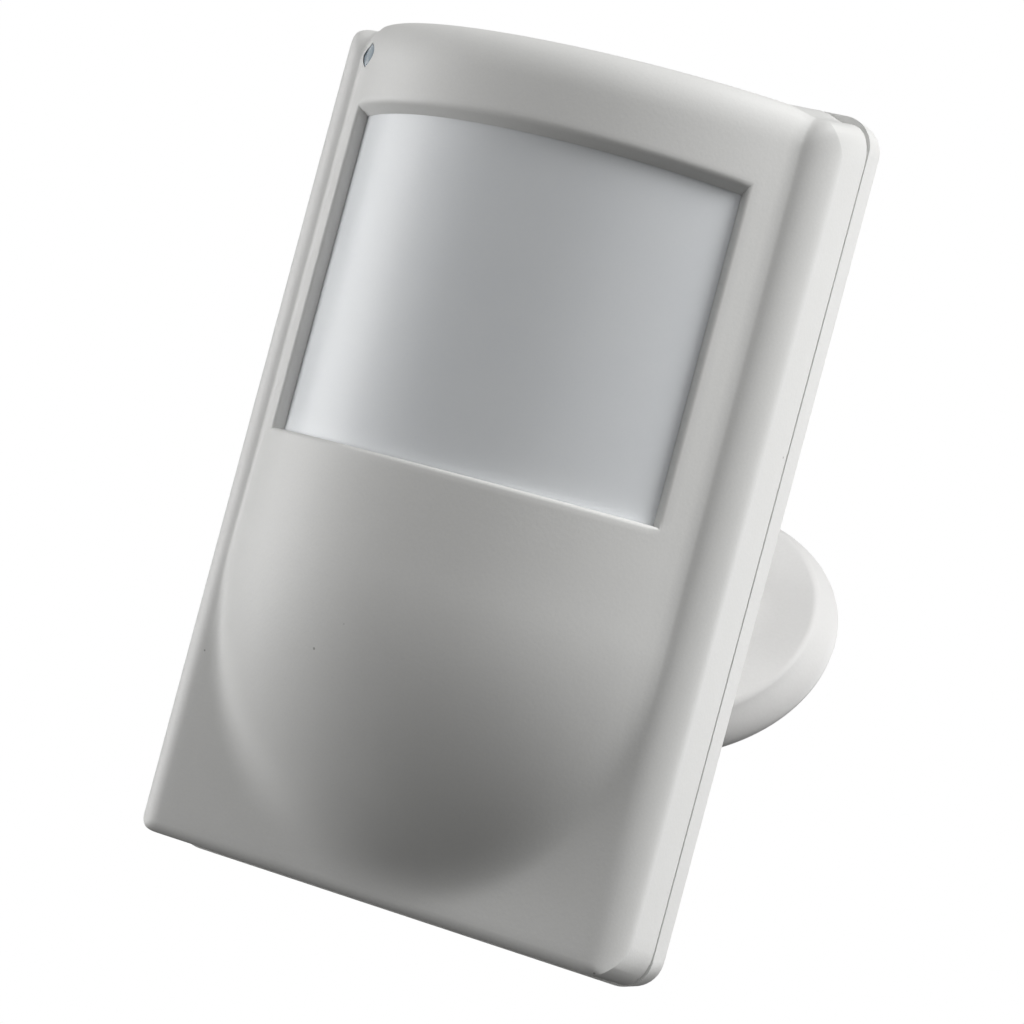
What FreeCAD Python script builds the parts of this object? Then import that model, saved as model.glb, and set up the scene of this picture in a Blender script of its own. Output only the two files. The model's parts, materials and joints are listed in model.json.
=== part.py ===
import FreeCAD, Part
import math
import os

# Motion sensor on a swivel wall bracket, in millimetres.
# Row frame: the origin is the centre of the wall plate's back face, +Y goes into the wall, +Z is up.
# The detector is drawn upright in its own frame, with its back face at depth 0 and its front at
# positive depth, and is then tilted down on the arm.

V = FreeCAD.Vector

# ---- swivel bracket ----
PLATE_R = 23.3            # widest radius of the round wall plate
PLATE_FACE_R = 20.45      # radius of its flat front face
PLATE_WIDE_OUT = 1.0      # distance of the widest circle from the wall
PLATE_FACE_OUT = 5.7      # distance of the front face from the wall
PLATE_WALL_R = 22.7       # radius where it meets the wall
WALL_HOLE_R = 2.1
WALL_HOLE_SPACING = 31.0
WALL_HOLE_SINK_R = 3.6
TURRET_R = 11.0
TURRET_FLOOR = 2.5
FACE_GAP = 0.3            # between faces that turn past each other
PIVOT_OUT = 16.0          # distance of the tilt pivot from the wall
FORK_R = 6.5
FORK_HALF = 7.6
TONGUE_HALF = 3.0
TONGUE_R = 6.2
BOLT_R = 2.0
ARM_LENGTH = 47.3         # from the tilt pivot to the detector's back face
ARM_DEPTH_Z = -2.6        # height of the arm's axis on the detector
ARM_ROOT_R = 5.3
ARM_TIP_R = 4.4
ARM_FLANGE_R = 8.5
REST_TILT = 39.5          # how far the detector looks down at rest

# ---- swivel joint that the turret and the detector both turn on ----
SPIGOT_R = 4.5
RUN_FIT = 0.06
WASHER_R = 7.6
WASHER_T = 0.8
SCREW_R = 1.5
SCREW_HEAD_R = 3.2
SCREW_HEAD_T = 1.6
RECESS_R = 8.4
RECESS_DEPTH = 3.1

# ---- plate in the detector's back ----
HEAD_PLATE_HALF_W = 12.5
HEAD_PLATE_HALF_H = 15.0
HEAD_PLATE_BACK = 0.1     # depth of its back face
HEAD_PLATE_FRONT = 2.6    # depth of its front face
HEAD_BOSS_R = 8.8
HEAD_SCREW_REACH = 12.0   # from the arm's axis to each of its two screws
HEAD_FIT = 0.2            # gap round the plate in the rear cover

# ---- detector housing ----
HALF_W = 34.05
HALF_H_BACK = 54.3
HALF_H_FRONT = 52.4
CORNER_R = 4.0
PARTING = 4.85            # depth of the line between the two covers
FLANGE = 16.6             # depth of the flat rim round the bulge
SIDE_REACH = 4.0          # the sides turn back in a quarter of an ellipse: its width
SIDE_DROP = 4.4           # and its depth
WALL = 2.0
FLOOR_T = 1.8
BULGE_HALF = 29.8
BULGE_RISE = 16.0
BULGE_FLAT_END = -13.0    # height where the bulge starts to curve back
BULGE_FOOT = -49.4        # height where it meets the rim again
BULGE_DRAFT = 0.012       # how much the bulge's end wall leans in, per unit of depth
LIP_T = 1.0
LIP_GAP = 0.35
LIP_REACH = 1.5

# ---- lens ----
LENS_HALF = 25.6
LENS_EDGE = 19.3
LENS_RISE = 11.9
LENS_T = 0.7
OPEN_HALF = 26.8
OPEN_TOP = 41.5
OPEN_BOTTOM = 0.2
LENS_TOP = 40.4
LENS_LAP = 1.6            # how far the lens sheet reaches behind the opening's edge

# ---- circuit board and what it carries ----
BOARD_HALF_W = 28.5
BOARD_TOP = 48.0
BOARD_BOTTOM = -48.0
BOARD_BACK = 5.6
BOARD_T = 1.6
BOARD_FRONT = BOARD_BACK + BOARD_T
SENSOR_Z = 20.0
CELL_R = 8.4
CELL_LENGTH = 33.4
CELL_Z = -18.0
CELL_DEPTH = BOARD_FRONT + 0.9 + CELL_R
LEAD_CIRCLE_R = 2.54      # circle that the heat sensor's three leads stand on
LED_X = -28.0
LED_Z = 48.0
TAMPER_X = 22.5
TAMPER_Z = -4.2
BUTTON_Z = -41.0
CONTROLLER_X = -16.0
CONTROLLER_Z = 17.0
AMPLIFIER_X = 13.0
AMPLIFIER_Z = 12.0
RADIO_X0 = 8.0            # left side of the radio's own board
RADIO_X1 = 26.0
RADIO_Z0 = 22.0
RADIO_Z1 = 35.0
RADIO_LIFT = 0.5          # gap under the radio's own board
RADIO_T = 0.9
ANTENNA_Z = 42.5
ANTENNA_X0 = -14.0
ANTENNA_X1 = 23.5
ANTENNA_R = 0.5
CAN_SIZES = ((-21, 2, 3.1, 7.5), (20, 5, 2.5, 6.5))      # x, z, radius and height of the capacitors
HEADER_X = -6.0
HEADER_Z = 34.2
HEADER_PITCH = 2.54
COLUMN_X = -24.0          # the upright row of small parts
COLUMN_TOP = 30.0
COLUMN_PITCH = 2.6
ROW_X = -12.0             # the level row of small parts
ROW_Z = 4.0
ROW_PITCH = 3.2


def rest_placement():
    """Places the upright detector frame in the row frame, turned about the tilt pivot."""
    turn = FreeCAD.Placement(V(0, 0, 0), FreeCAD.Rotation(V(1, 0, 0), REST_TILT))
    to_pivot = FreeCAD.Placement(V(0, -ARM_LENGTH, -ARM_DEPTH_Z), FreeCAD.Rotation())
    out = FreeCAD.Placement(V(0, -PIVOT_OUT, 0), FreeCAD.Rotation())
    return out.multiply(turn).multiply(to_pivot)


def box(x0, x1, d0, d1, z0, z1):
    """Block between two x, two depths and two heights."""
    return Part.makeBox(x1 - x0, d1 - d0, z1 - z0, V(x0, -d1, z0))


def rod(x, z, radius, d0, d1):
    """Round bar along the depth."""
    return Part.makeCylinder(radius, d1 - d0, V(x, -d0, z), V(0, -1, 0))


def taper(x, z, r0, r1, d0, d1):
    """Cone along the depth."""
    return Part.makeCone(r0, r1, d1 - d0, V(x, -d0, z), V(0, -1, 0))


def cross_rod(depth, z, radius, x0, x1):
    """Round bar along x."""
    return Part.makeCylinder(radius, x1 - x0, V(x0, -depth, z), V(1, 0, 0))


def upright_rod(x, depth, radius, z0, z1):
    """Round bar along z."""
    return Part.makeCylinder(radius, z1 - z0, V(x, -depth, z0), V(0, 0, 1))


def prism(points, x0, x1):
    """Polygon of (depth, height) points pushed along x."""
    wire = Part.makePolygon([V(x0, -d, z) for d, z in points + points[:1]])
    return Part.Face(wire).extrude(V(x1 - x0, 0, 0))


def rounded_block(half_w, half_h, radius, d0, d1):
    """Block with rounded corners, seen from the front."""
    block = box(-half_w, half_w, d0, d1, -half_h, half_h)
    corners = [e for e in block.Edges if abs(e.tangentAt(0).y) > 0.9]
    return block.makeFillet(radius, corners)


def arc_strip(half, edge_depth, rise, z0, z1, back):
    """Block whose front is an upright cylinder face, rising from its two side edges."""
    radius = (half ** 2 + rise ** 2) / (2 * rise)
    axis_depth = edge_depth + rise - radius
    round_part = upright_rod(0, axis_depth, radius, z0, z1)
    return round_part.common(box(-half, half, back, edge_depth + rise + 1, z0, z1))


# ---------------------------------------------------------------- bracket

def wall_plate():
    """Round plate with a soft rim, a central bearing and two countersunk wall holes."""
    rim_mid = V(22.7, -3.6, 0)
    outline = [
        Part.LineSegment(V(0, 0, 0), V(PLATE_WALL_R, 0, 0)),
        Part.LineSegment(V(PLATE_WALL_R, 0, 0), V(PLATE_R, -PLATE_WIDE_OUT, 0)),
        Part.Arc(V(PLATE_R, -PLATE_WIDE_OUT, 0), rim_mid, V(PLATE_FACE_R + 0.5, -PLATE_FACE_OUT, 0)),
        Part.LineSegment(V(PLATE_FACE_R + 0.5, -PLATE_FACE_OUT, 0), V(0, -PLATE_FACE_OUT, 0)),
        Part.LineSegment(V(0, -PLATE_FACE_OUT, 0), V(0, 0, 0)),
    ]
    face = Part.Face(Part.Wire([c.toShape() for c in outline]))
    plate = face.revolve(V(0, 0, 0), V(0, 1, 0), 360)
    plate = plate.cut(rod(0, 0, SPIGOT_R + RUN_FIT, -1, PLATE_FACE_OUT + 1))
    plate = plate.cut(rod(0, 0, RECESS_R, -1, RECESS_DEPTH))
    for side in (-1, 1):
        z = side * WALL_HOLE_SPACING / 2
        plate = plate.cut(rod(0, z, WALL_HOLE_R, -1, PLATE_FACE_OUT + 1))
        sink = taper(0, z, WALL_HOLE_R, WALL_HOLE_SINK_R + 0.2, PLATE_FACE_OUT - 1.5, PLATE_FACE_OUT + 0.2)
        plate = plate.cut(sink)
    return plate


def swivel_washer(bearing):
    """Washer behind a swivel bearing whose recess floor is at the given depth."""
    top = bearing - 0.1
    return rod(0, 0, WASHER_R, top - WASHER_T, top).cut(rod(0, 0, SCREW_R + 0.15, top - 2, top + 1))


def swivel_screw(bearing):
    """Pan-head screw that holds a swivel together, with a cross recess in its head."""
    seat = bearing - 0.1 - WASHER_T
    head = rod(0, 0, SCREW_HEAD_R, seat - SCREW_HEAD_T, seat)
    slot = box(-2.0, 2.0, seat - SCREW_HEAD_T, seat - 0.7, -0.4, 0.4)
    slot = slot.fuse(box(-0.4, 0.4, seat - SCREW_HEAD_T, seat - 0.7, -2.0, 2.0))
    return head.cut(slot).fuse(rod(0, 0, SCREW_R, seat, bearing + 4.8))


def swivel_spigot(bearing, out):
    """Stub that turns in a swivel bearing, from its washer to the part it belongs to."""
    return rod(0, 0, SPIGOT_R, bearing, out)


def turret():
    """Turning fork on the wall plate: a disc, two cheeks and a spigot."""
    base = PLATE_FACE_OUT + FACE_GAP
    disc = rod(0, 0, TURRET_R, base, base + TURRET_FLOOR)
    fork = box(-FORK_HALF, FORK_HALF, base, PIVOT_OUT, -FORK_R, FORK_R)
    fork = fork.fuse(cross_rod(PIVOT_OUT, 0, FORK_R, -FORK_HALF, FORK_HALF))
    gap = TONGUE_HALF + FACE_GAP
    fork = fork.cut(box(-gap, gap, base + TURRET_FLOOR, PIVOT_OUT + 10, -12, 12))
    body = disc.fuse(fork).fuse(swivel_spigot(RECESS_DEPTH, base)).removeSplitter()
    body = body.cut(cross_rod(PIVOT_OUT, 0, BOLT_R + RUN_FIT, -20, 20))
    body = body.cut(rod(0, 0, SCREW_R + 0.03, 0, RECESS_DEPTH + 5.2))
    head_seat = cross_rod(PIVOT_OUT, 0, 4.0, FORK_HALF - 1.6, FORK_HALF + 1)
    nut_seat = hexagon(3.7, -FORK_HALF - 1, -FORK_HALF + 1.6)
    return body.cut(head_seat).cut(nut_seat)


def hexagon(apothem, x0, x1):
    """Hexagonal block on the tilt pivot, along x."""
    reach = apothem / math.cos(math.pi / 6)
    points = [(PIVOT_OUT + reach * math.cos(k * math.pi / 3), reach * math.sin(k * math.pi / 3)) for k in range(6)]
    return prism(points, x0, x1)


def tilt_bolt():
    """Bolt through the fork, with a socket in its round head."""
    head = cross_rod(PIVOT_OUT, 0, 3.8, FORK_HALF - 1.5, FORK_HALF + 1.7)
    socket = hexagon(1.5, FORK_HALF + 0.2, FORK_HALF + 2)
    return head.cut(socket).fuse(cross_rod(PIVOT_OUT, 0, BOLT_R, -FORK_HALF - 1.2, FORK_HALF - 1.5))


def tilt_nut():
    """Hexagonal nut let into the other cheek."""
    nut = hexagon(3.5, -FORK_HALF - 0.9, -FORK_HALF + 1.5)
    return nut.cut(cross_rod(PIVOT_OUT, 0, BOLT_R + 0.03, -20, 0))


def swivel_arm():
    """Arm in the detector frame: a knuckle tongue, a slim shaft, a flange and a spigot."""
    shaft_start = -ARM_LENGTH + TONGUE_R + 1.6
    flange_back = -6.2
    flange_front = -3.2
    z = ARM_DEPTH_Z
    tongue = Part.makeCylinder(TONGUE_R, 2 * TONGUE_HALF, V(-TONGUE_HALF, ARM_LENGTH, z), V(1, 0, 0))
    neck = box(-TONGUE_HALF, TONGUE_HALF, -ARM_LENGTH, shaft_start + 2, z - ARM_ROOT_R + 0.6, z + ARM_ROOT_R - 0.6)
    shaft = taper(0, z, ARM_ROOT_R, ARM_TIP_R, shaft_start, flange_back - 4.0)
    flare = taper(0, z, ARM_TIP_R, ARM_FLANGE_R - 0.6, flange_back - 4.0, flange_back)
    flange = rod(0, z, ARM_FLANGE_R, flange_back, flange_front)
    spigot = swivel_spigot(flange_front, -0.0)
    spigot.translate(V(0, 0, z))
    arm = tongue.fuse([neck, shaft, flare, flange, spigot]).removeSplitter()
    arm = arm.cut(Part.makeCylinder(BOLT_R + RUN_FIT, 20, V(-10, ARM_LENGTH, z), V(1, 0, 0)))
    return arm.cut(rod(0, z, SCREW_R + 0.03, -8.2, 1))


def head_plate():
    """Plate that slides into the detector's back and turns on the arm's spigot."""
    z = ARM_DEPTH_Z
    plate = box(-HEAD_PLATE_HALF_W, HEAD_PLATE_HALF_W, HEAD_PLATE_BACK, HEAD_PLATE_FRONT,
                z - HEAD_PLATE_HALF_H, z + HEAD_PLATE_HALF_H)
    boss = rod(0, z, HEAD_BOSS_R, -2.9, HEAD_PLATE_BACK)
    body = plate.fuse(boss).removeSplitter()
    body = body.cut(rod(0, z, SPIGOT_R + RUN_FIT, -4, 4))
    body = body.cut(rod(0, z, RECESS_R - 0.4, 0.0, 4))
    for side in (-1, 1):
        hole_z = z + side * HEAD_SCREW_REACH
        body = body.cut(rod(0, hole_z, 1.3, -1, 4))
        body = body.cut(taper(0, hole_z, 2.7, 1.3, 0.09, 1.5))
    return body


def head_washer():
    """Washer inside the plate on the detector's back."""
    washer = rod(0, 0, WASHER_R - 0.2, 0.1, 0.7).cut(rod(0, 0, SCREW_R + 0.15, -1, 2))
    washer.translate(V(0, 0, ARM_DEPTH_Z))
    return washer


def head_screw():
    """Screw that holds the plate on the arm's spigot."""
    z = ARM_DEPTH_Z
    head = rod(0, z, SCREW_HEAD_R, 0.7, 2.3)
    slot = box(-2.0, 2.0, 1.6, 2.4, z - 0.4, z + 0.4).fuse(box(-0.4, 0.4, 1.6, 2.4, z - 2.0, z + 2.0))
    return head.cut(slot).fuse(rod(0, z, SCREW_R, -7.8, 0.7))


def plate_screws():
    """Two countersunk screws from the plate into the detector's back."""
    screws = []
    for side in (-1, 1):
        z = ARM_DEPTH_Z + side * HEAD_SCREW_REACH
        screws.append(taper(0, z, 2.5, 1.15, 0.2, 1.5).fuse(rod(0, z, 1.15, 1.5, 5.6)))
    return Part.makeCompound(screws)


# ---------------------------------------------------------------- housing

def front_form(inset):
    """Outer form of the front cover, or with an inset the hollow inside it."""
    half_w = HALF_W - inset
    back = HALF_H_BACK - inset
    front = HALF_H_FRONT - inset
    deep = FLANGE + BULGE_RISE - inset
    rim = FLANGE - inset
    start = PARTING - (1.0 if inset else 0.0)
    outline = rounded_block(half_w, back, max(CORNER_R - inset, 1.5), start, deep + 1)
    tip = front - BULGE_DRAFT * (deep + 1 - FLANGE)
    side = prism([(start, -back), (PARTING, -back), (FLANGE, -front), (deep + 1, -tip),
                  (deep + 1, tip), (FLANGE, front), (PARTING, back), (start, back)], -half_w, half_w)
    slab = rim_slab(half_w, back, start, rim, inset)
    bulge = bulge_form(inset, start)
    return slab.fuse(bulge).common(outline).common(side).removeSplitter()


def rim_slab(half_w, half_h, start, rim, inset):
    """The flat rim, whose two long sides turn back in quarters of an ellipse."""
    reach = SIDE_REACH - inset
    drop = SIDE_DROP - inset
    sides = []
    for side in (-1, 1):
        centre = V(side * (half_w - reach), -(rim - drop), -half_h)
        ellipse = Part.Ellipse(centre + V(0, -drop, 0), centre + V(side * reach, 0, 0), centre)
        whole = Part.Face(Part.Wire(ellipse.toShape())).extrude(V(0, 0, 2 * half_h))
        sides.append(whole)
    middle = box(-half_w + reach, half_w - reach, start, rim, -half_h, half_h)
    back = box(-half_w, half_w, start, rim - drop, -half_h, half_h)
    slab = middle.fuse(sides + [back]).removeSplitter()
    return slab.common(box(-half_w, half_w, start, rim, -half_h, half_h))


def bulge_form(inset, start):
    """The rounded bulge: an upright cylinder face that curves back to a U at its foot."""
    rise = BULGE_RISE
    radius = (BULGE_HALF ** 2 + rise ** 2) / (2 * rise)
    crown = FLANGE + rise
    axis_depth = crown - radius
    reach = BULGE_FLAT_END - BULGE_FOOT
    sweep_r = (rise ** 2 + reach ** 2) / (2 * rise)
    sweep_depth = crown - sweep_r
    tall = upright_rod(0, axis_depth, radius - inset, BULGE_FLAT_END, HALF_H_BACK + 1)
    tall = tall.common(box(-HALF_W + inset, HALF_W - inset, start, crown + 1, BULGE_FLAT_END, HALF_H_BACK + 1))
    disc = Part.Face(Part.Wire(Part.makeCircle(radius - inset, V(0, -axis_depth, BULGE_FLAT_END), V(0, 0, 1))))
    keep = Part.makePlane(2 * radius, crown - sweep_depth + 1, V(-radius, -crown - 1, BULGE_FLAT_END))
    disc = disc.common(keep)
    foot = disc.revolve(V(0, -sweep_depth, BULGE_FLAT_END), V(1, 0, 0), 75)
    foot = foot.common(box(-HALF_W + inset, HALF_W - inset, start, crown + 1, -HALF_H_BACK, BULGE_FLAT_END))
    return tall.fuse(foot).removeSplitter()


def lens_window(half, top, bottom):
    """Opening for the lens: straight through, with a bevelled mouth at the sides."""
    narrow = half - 2.0
    plan = [(-narrow, -10), (-narrow, -(LENS_EDGE - 0.3)), (-half, -(LENS_EDGE + 1.7)), (-half, -40),
            (half, -40), (half, -(LENS_EDGE + 1.7)), (narrow, -(LENS_EDGE - 0.3)), (narrow, -10)]
    wire = Part.makePolygon([V(x, y, bottom) for x, y in plan + plan[:1]])
    return Part.Face(wire).extrude(V(0, 0, top - bottom))


def diamond(scale):
    """Diamond outline of the indicator's window, pushed through the cover."""
    points = [(0.15, 1.65), (1.6, 0.25), (-0.15, -1.65), (-1.6, -0.25)]
    wire = Part.makePolygon([V(LED_X + scale * x, -12, LED_Z + scale * z) for x, z in points + points[:1]])
    return Part.Face(wire).extrude(V(0, -12, 0))


def lens_sheet(outset, thickness, half, z0, z1):
    """Curved sheet that follows the lens, moved outwards by outset and so thick towards the back."""
    radius = (LENS_HALF ** 2 + LENS_RISE ** 2) / (2 * LENS_RISE)
    axis_depth = LENS_EDGE + LENS_RISE - radius
    outer = upright_rod(0, axis_depth, radius + outset, z0, z1)
    ring = outer.cut(upright_rod(0, axis_depth, radius + outset - thickness, z0 - 1, z1 + 1))
    return ring.common(box(-half, half, PARTING, 50, z0, z1))


def front_cover():
    """Front cover shell with its lens opening, lens seat and indicator window."""
    cover = front_form(0).cut(front_form(WALL))
    cover = cover.cut(lens_window(OPEN_HALF, OPEN_TOP, OPEN_BOTTOM))
    lap = LENS_LAP + 0.15
    seat = lens_sheet(0.1, 6, LENS_HALF + lap, OPEN_BOTTOM - lap, LENS_TOP + 1 + lap)
    cover = cover.cut(seat)
    return cover.cut(diamond(1.0)).removeSplitter()


def fresnel_lens():
    """Thin curved lens sheet behind the opening."""
    return lens_sheet(0, LENS_T, LENS_HALF + LENS_LAP, OPEN_BOTTOM - LENS_LAP, LENS_TOP + 1 + LENS_LAP)


def lens_frame():
    """Frame that holds the lens sheet from behind."""
    low = OPEN_BOTTOM - LENS_LAP
    high = LENS_TOP + 1 + LENS_LAP
    half = LENS_HALF + LENS_LAP
    frame = lens_sheet(-LENS_T - 0.05, 1.3, half, low, high)
    hole = box(-half + 4.4, half - 4.4, PARTING, 50, low + 3.8, high - 4.2)
    return frame.cut(hole)


def led_window():
    """Clear window and light guide from the indicator to the cover's corner."""
    window = diamond(0.94).common(front_form(0.12))
    guide = rod(LED_X, LED_Z, 1.7, BOARD_FRONT + 2.9, 14.6)
    stem = diamond(0.94).common(box(-40, 0, 13.0, 17.5, 0, 60))
    guide = guide.common(front_form(WALL + 0.15))
    return window.fuse(stem).fuse(guide).removeSplitter()


def rear_cover():
    """Rear tray: floor, rim, inner lip, pocket for the arm's plate, and board posts."""
    rim = rounded_block(HALF_W, HALF_H_BACK, CORNER_R, 0, PARTING - 0.25)
    back_edges = [e for e in rim.Edges if e.BoundBox.YMax > -0.01 and e.BoundBox.YMin > -0.01]
    rim = rim.makeFillet(1.0, back_edges)
    rim = rim.cut(rounded_block(HALF_W - WALL, HALF_H_BACK - WALL, CORNER_R - WALL, FLOOR_T, 10))
    lip_out = WALL + LIP_GAP
    lip = rounded_block(HALF_W - lip_out, HALF_H_BACK - lip_out, 1.8, FLOOR_T - 0.5, PARTING + LIP_REACH)
    lip_in = lip_out + LIP_T
    lip = lip.cut(rounded_block(HALF_W - lip_in, HALF_H_BACK - lip_in, 1.2, 0, 20))
    web = rounded_block(HALF_W - 1, HALF_H_BACK - 1, 3, FLOOR_T - 0.5, PARTING - 0.9)
    web = web.cut(rounded_block(HALF_W - lip_in, HALF_H_BACK - lip_in, 1.2, 0, 20))
    tray = rim.fuse([lip, web])
    z = ARM_DEPTH_Z
    pocket_w = HEAD_PLATE_HALF_W + HEAD_FIT
    pocket_h = HEAD_PLATE_HALF_H + HEAD_FIT
    pad = box(-pocket_w - 2.3, pocket_w + 2.3, 0.5, 4.4, z - pocket_h - 2.3, z + pocket_h + 2.3)
    tray = tray.fuse(pad)
    for x, zz in board_points():
        tray = tray.fuse(rod(x, zz, 2.6, 0.5, BOARD_BACK))
    tray = tray.cut(box(-pocket_w, pocket_w, -1, HEAD_PLATE_FRONT + 0.1, z - pocket_h, z + pocket_h))
    for x, zz in board_points():
        tray = tray.cut(rod(x, zz, 0.93, 2.4, BOARD_BACK + 1))
    for side in (-1, 1):
        tray = tray.cut(rod(0, z + side * HEAD_SCREW_REACH, 1.17, 1, 5.8))
    return tray.removeSplitter()


def board_points():
    """Centres of the four posts and screws that hold the circuit board."""
    return [(sx * (BOARD_HALF_W - 3.2), z) for sx in (-1, 1) for z in (BOARD_TOP - 9.5, BOARD_BOTTOM + 3.5)]


# ---------------------------------------------------------------- inside

def circuit_board():
    """Board with holes for its screws and a notch beside the tamper switch."""
    board = box(-BOARD_HALF_W, BOARD_HALF_W, BOARD_BACK, BOARD_FRONT, BOARD_BOTTOM, BOARD_TOP)
    corners = [e for e in board.Edges if abs(e.tangentAt(0).y) > 0.9]
    board = board.makeFillet(2.0, corners)
    ear = box(LED_X - 1.2, -BOARD_HALF_W + 1, BOARD_BACK, BOARD_FRONT, LED_Z - 5.5, BOARD_TOP - 0.2)
    board = board.fuse(ear).removeSplitter()
    for x, z in board_points():
        board = board.cut(rod(x, z, 1.15, 5, 10))
    return board


def board_screws():
    """Four small pan-head screws through the board."""
    screws = []
    for x, z in board_points():
        head = rod(x, z, 1.9, BOARD_FRONT, BOARD_FRONT + 1.3)
        head = head.cut(box(x - 1.2, x + 1.2, BOARD_FRONT + 0.7, BOARD_FRONT + 2, z - 0.22, z + 0.22))
        head = head.cut(box(x - 0.22, x + 0.22, BOARD_FRONT + 0.7, BOARD_FRONT + 2, z - 1.2, z + 1.2))
        screws.append(head.fuse(rod(x, z, 0.9, 3.0, BOARD_FRONT)))
    return Part.makeCompound(screws)


def lead_points():
    """Centres of the heat sensor's three leads."""
    angles = [math.radians(90 + 120 * k) for k in range(3)]
    return [(LEAD_CIRCLE_R * math.cos(a), SENSOR_Z + LEAD_CIRCLE_R * math.sin(a)) for a in angles]


def sensor_holder():
    """Plastic spacer that stands the heat sensor off the board."""
    ring = rod(0, SENSOR_Z, 5.4, BOARD_FRONT, BOARD_FRONT + 2.0)
    for x, z in lead_points():
        ring = ring.cut(rod(x, z, 0.4, BOARD_FRONT - 0.2, BOARD_FRONT + 4.8))
    return ring


def sensor_can():
    """Metal can of the heat sensor, with its flange, tab and window opening."""
    base = BOARD_FRONT + 2.0
    can = rod(0, SENSOR_Z, 4.6, base, base + 0.6).fuse(rod(0, SENSOR_Z, 4.1, base + 0.6, base + 4.2))
    tab = box(-0.45, 0.45, base, base + 0.6, SENSOR_Z + 4.2, SENSOR_Z + 5.4)
    can = can.fuse(tab).removeSplitter()
    can = can.cut(rod(0, SENSOR_Z, 3.7, base + 0.6, base + 3.7))
    return can.cut(box(-2.0, 2.0, base + 3, base + 5, SENSOR_Z - 1.5, SENSOR_Z + 1.5))


def sensor_filter():
    """Dark window under the can's opening."""
    base = BOARD_FRONT + 2.0
    return box(-2.3, 2.3, base + 3.15, base + 3.7, SENSOR_Z - 1.8, SENSOR_Z + 1.8)


def sensor_leads():
    """Three leads from the can down through the board."""
    leads = []
    for x, z in lead_points():
        joint = rod(x, z, 0.6, BOARD_BACK - 0.45, BOARD_BACK)
        leads.append(rod(x, z, 0.23, BOARD_BACK - 0.9, BOARD_BACK).fuse(joint))
    return Part.makeCompound(leads)


def battery():
    """Cylindrical lithium cell lying across the board, with its raised end."""
    half = CELL_LENGTH / 2
    body = cross_rod(CELL_DEPTH, CELL_Z, CELL_R, -half, half)
    ends = [e for e in body.Edges if e.Curve.TypeId == "Part::GeomCircle"]
    body = body.makeFillet(0.5, ends)
    return body.fuse(cross_rod(CELL_DEPTH, CELL_Z, 3.0, half, half + 1.0)).removeSplitter()


def battery_cradle():
    """Open cradle: a saddle under the cell and a wall at each end."""
    half = CELL_LENGTH / 2 + 4.2
    low = CELL_Z - CELL_R - 1.4
    high = CELL_Z + CELL_R + 1.4
    cradle = box(-half, half, BOARD_FRONT, CELL_DEPTH - 2.5, low, high)
    cradle = cradle.cut(cross_rod(CELL_DEPTH, CELL_Z, CELL_R + 0.25, -half + 1.4, half - 1.4))
    cradle = cradle.cut(box(-10, 10, BOARD_FRONT - 1, BOARD_FRONT + 3, CELL_Z - 4, CELL_Z + 4))
    for side in (-1, 1):
        wall = box(-1.4, 0, BOARD_FRONT, CELL_DEPTH + 3.5, CELL_Z - 5.5, CELL_Z + 5.5)
        wall.translate(V(half if side > 0 else -half + 1.4, 0, 0))
        cradle = cradle.fuse(wall)
    return cradle.removeSplitter()


def contact_plate():
    """Flat contact at the cell's raised end."""
    x = CELL_LENGTH / 2 + 1.1
    return box(x, x + 0.5, BOARD_FRONT + 3.0, CELL_DEPTH + 3.0, CELL_Z - 4.5, CELL_Z + 4.5)


def contact_spring():
    """Contact at the flat end: a strip with a bowed leaf that presses on the cell."""
    x = -CELL_LENGTH / 2
    strip = box(x - 2.6, x - 2.1, BOARD_FRONT + 3.0, CELL_DEPTH + 3.0, CELL_Z - 4.5, CELL_Z + 4.5)
    bow = Part.Arc(V(x - 2.3, -(CELL_DEPTH + 3.0), 0), V(x - 0.45, -CELL_DEPTH, 0), V(x - 2.3, -(CELL_DEPTH - 3.0), 0))
    inner = Part.Arc(V(x - 2.3, -(CELL_DEPTH - 2.2), 0), V(x - 0.85, -CELL_DEPTH, 0), V(x - 2.3, -(CELL_DEPTH + 2.2), 0))
    side_a = Part.LineSegment(V(x - 2.3, -(CELL_DEPTH - 3.0), 0), V(x - 2.3, -(CELL_DEPTH - 2.2), 0))
    side_b = Part.LineSegment(V(x - 2.3, -(CELL_DEPTH + 2.2), 0), V(x - 2.3, -(CELL_DEPTH + 3.0), 0))
    wire = Part.Wire([c.toShape() for c in (bow, side_a, inner, side_b)])
    leaf = Part.Face(wire).extrude(V(0, 0, 5))
    leaf.translate(V(0, 0, CELL_Z - 2.5))
    return strip.fuse(leaf).removeSplitter()


def chip(x, z, half_w, half_h, height, legs):
    """Chip body with small legs down both sides."""
    body = box(x - half_w, x + half_w, BOARD_FRONT + 0.15, BOARD_FRONT + height, z - half_h, z + half_h)
    pitch = 2 * half_h / legs
    for side in (-1, 1):
        for k in range(legs):
            zz = z - half_h + pitch * (k + 0.5)
            x0 = x + side * (half_w - 0.1)
            x1 = x + side * (half_w + 0.9)
            body = body.fuse(box(min(x0, x1), max(x0, x1), BOARD_FRONT, BOARD_FRONT + 0.4, zz - 0.2, zz + 0.2))
    return body


def controller_chip():
    """Main chip beside the heat sensor."""
    return chip(CONTROLLER_X, CONTROLLER_Z, 2.0, 4.4, 1.7, 8)


def amplifier_chip():
    """Small amplifier chip under the heat sensor."""
    return chip(AMPLIFIER_X, AMPLIFIER_Z, 1.9, 2.5, 1.6, 4)


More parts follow.
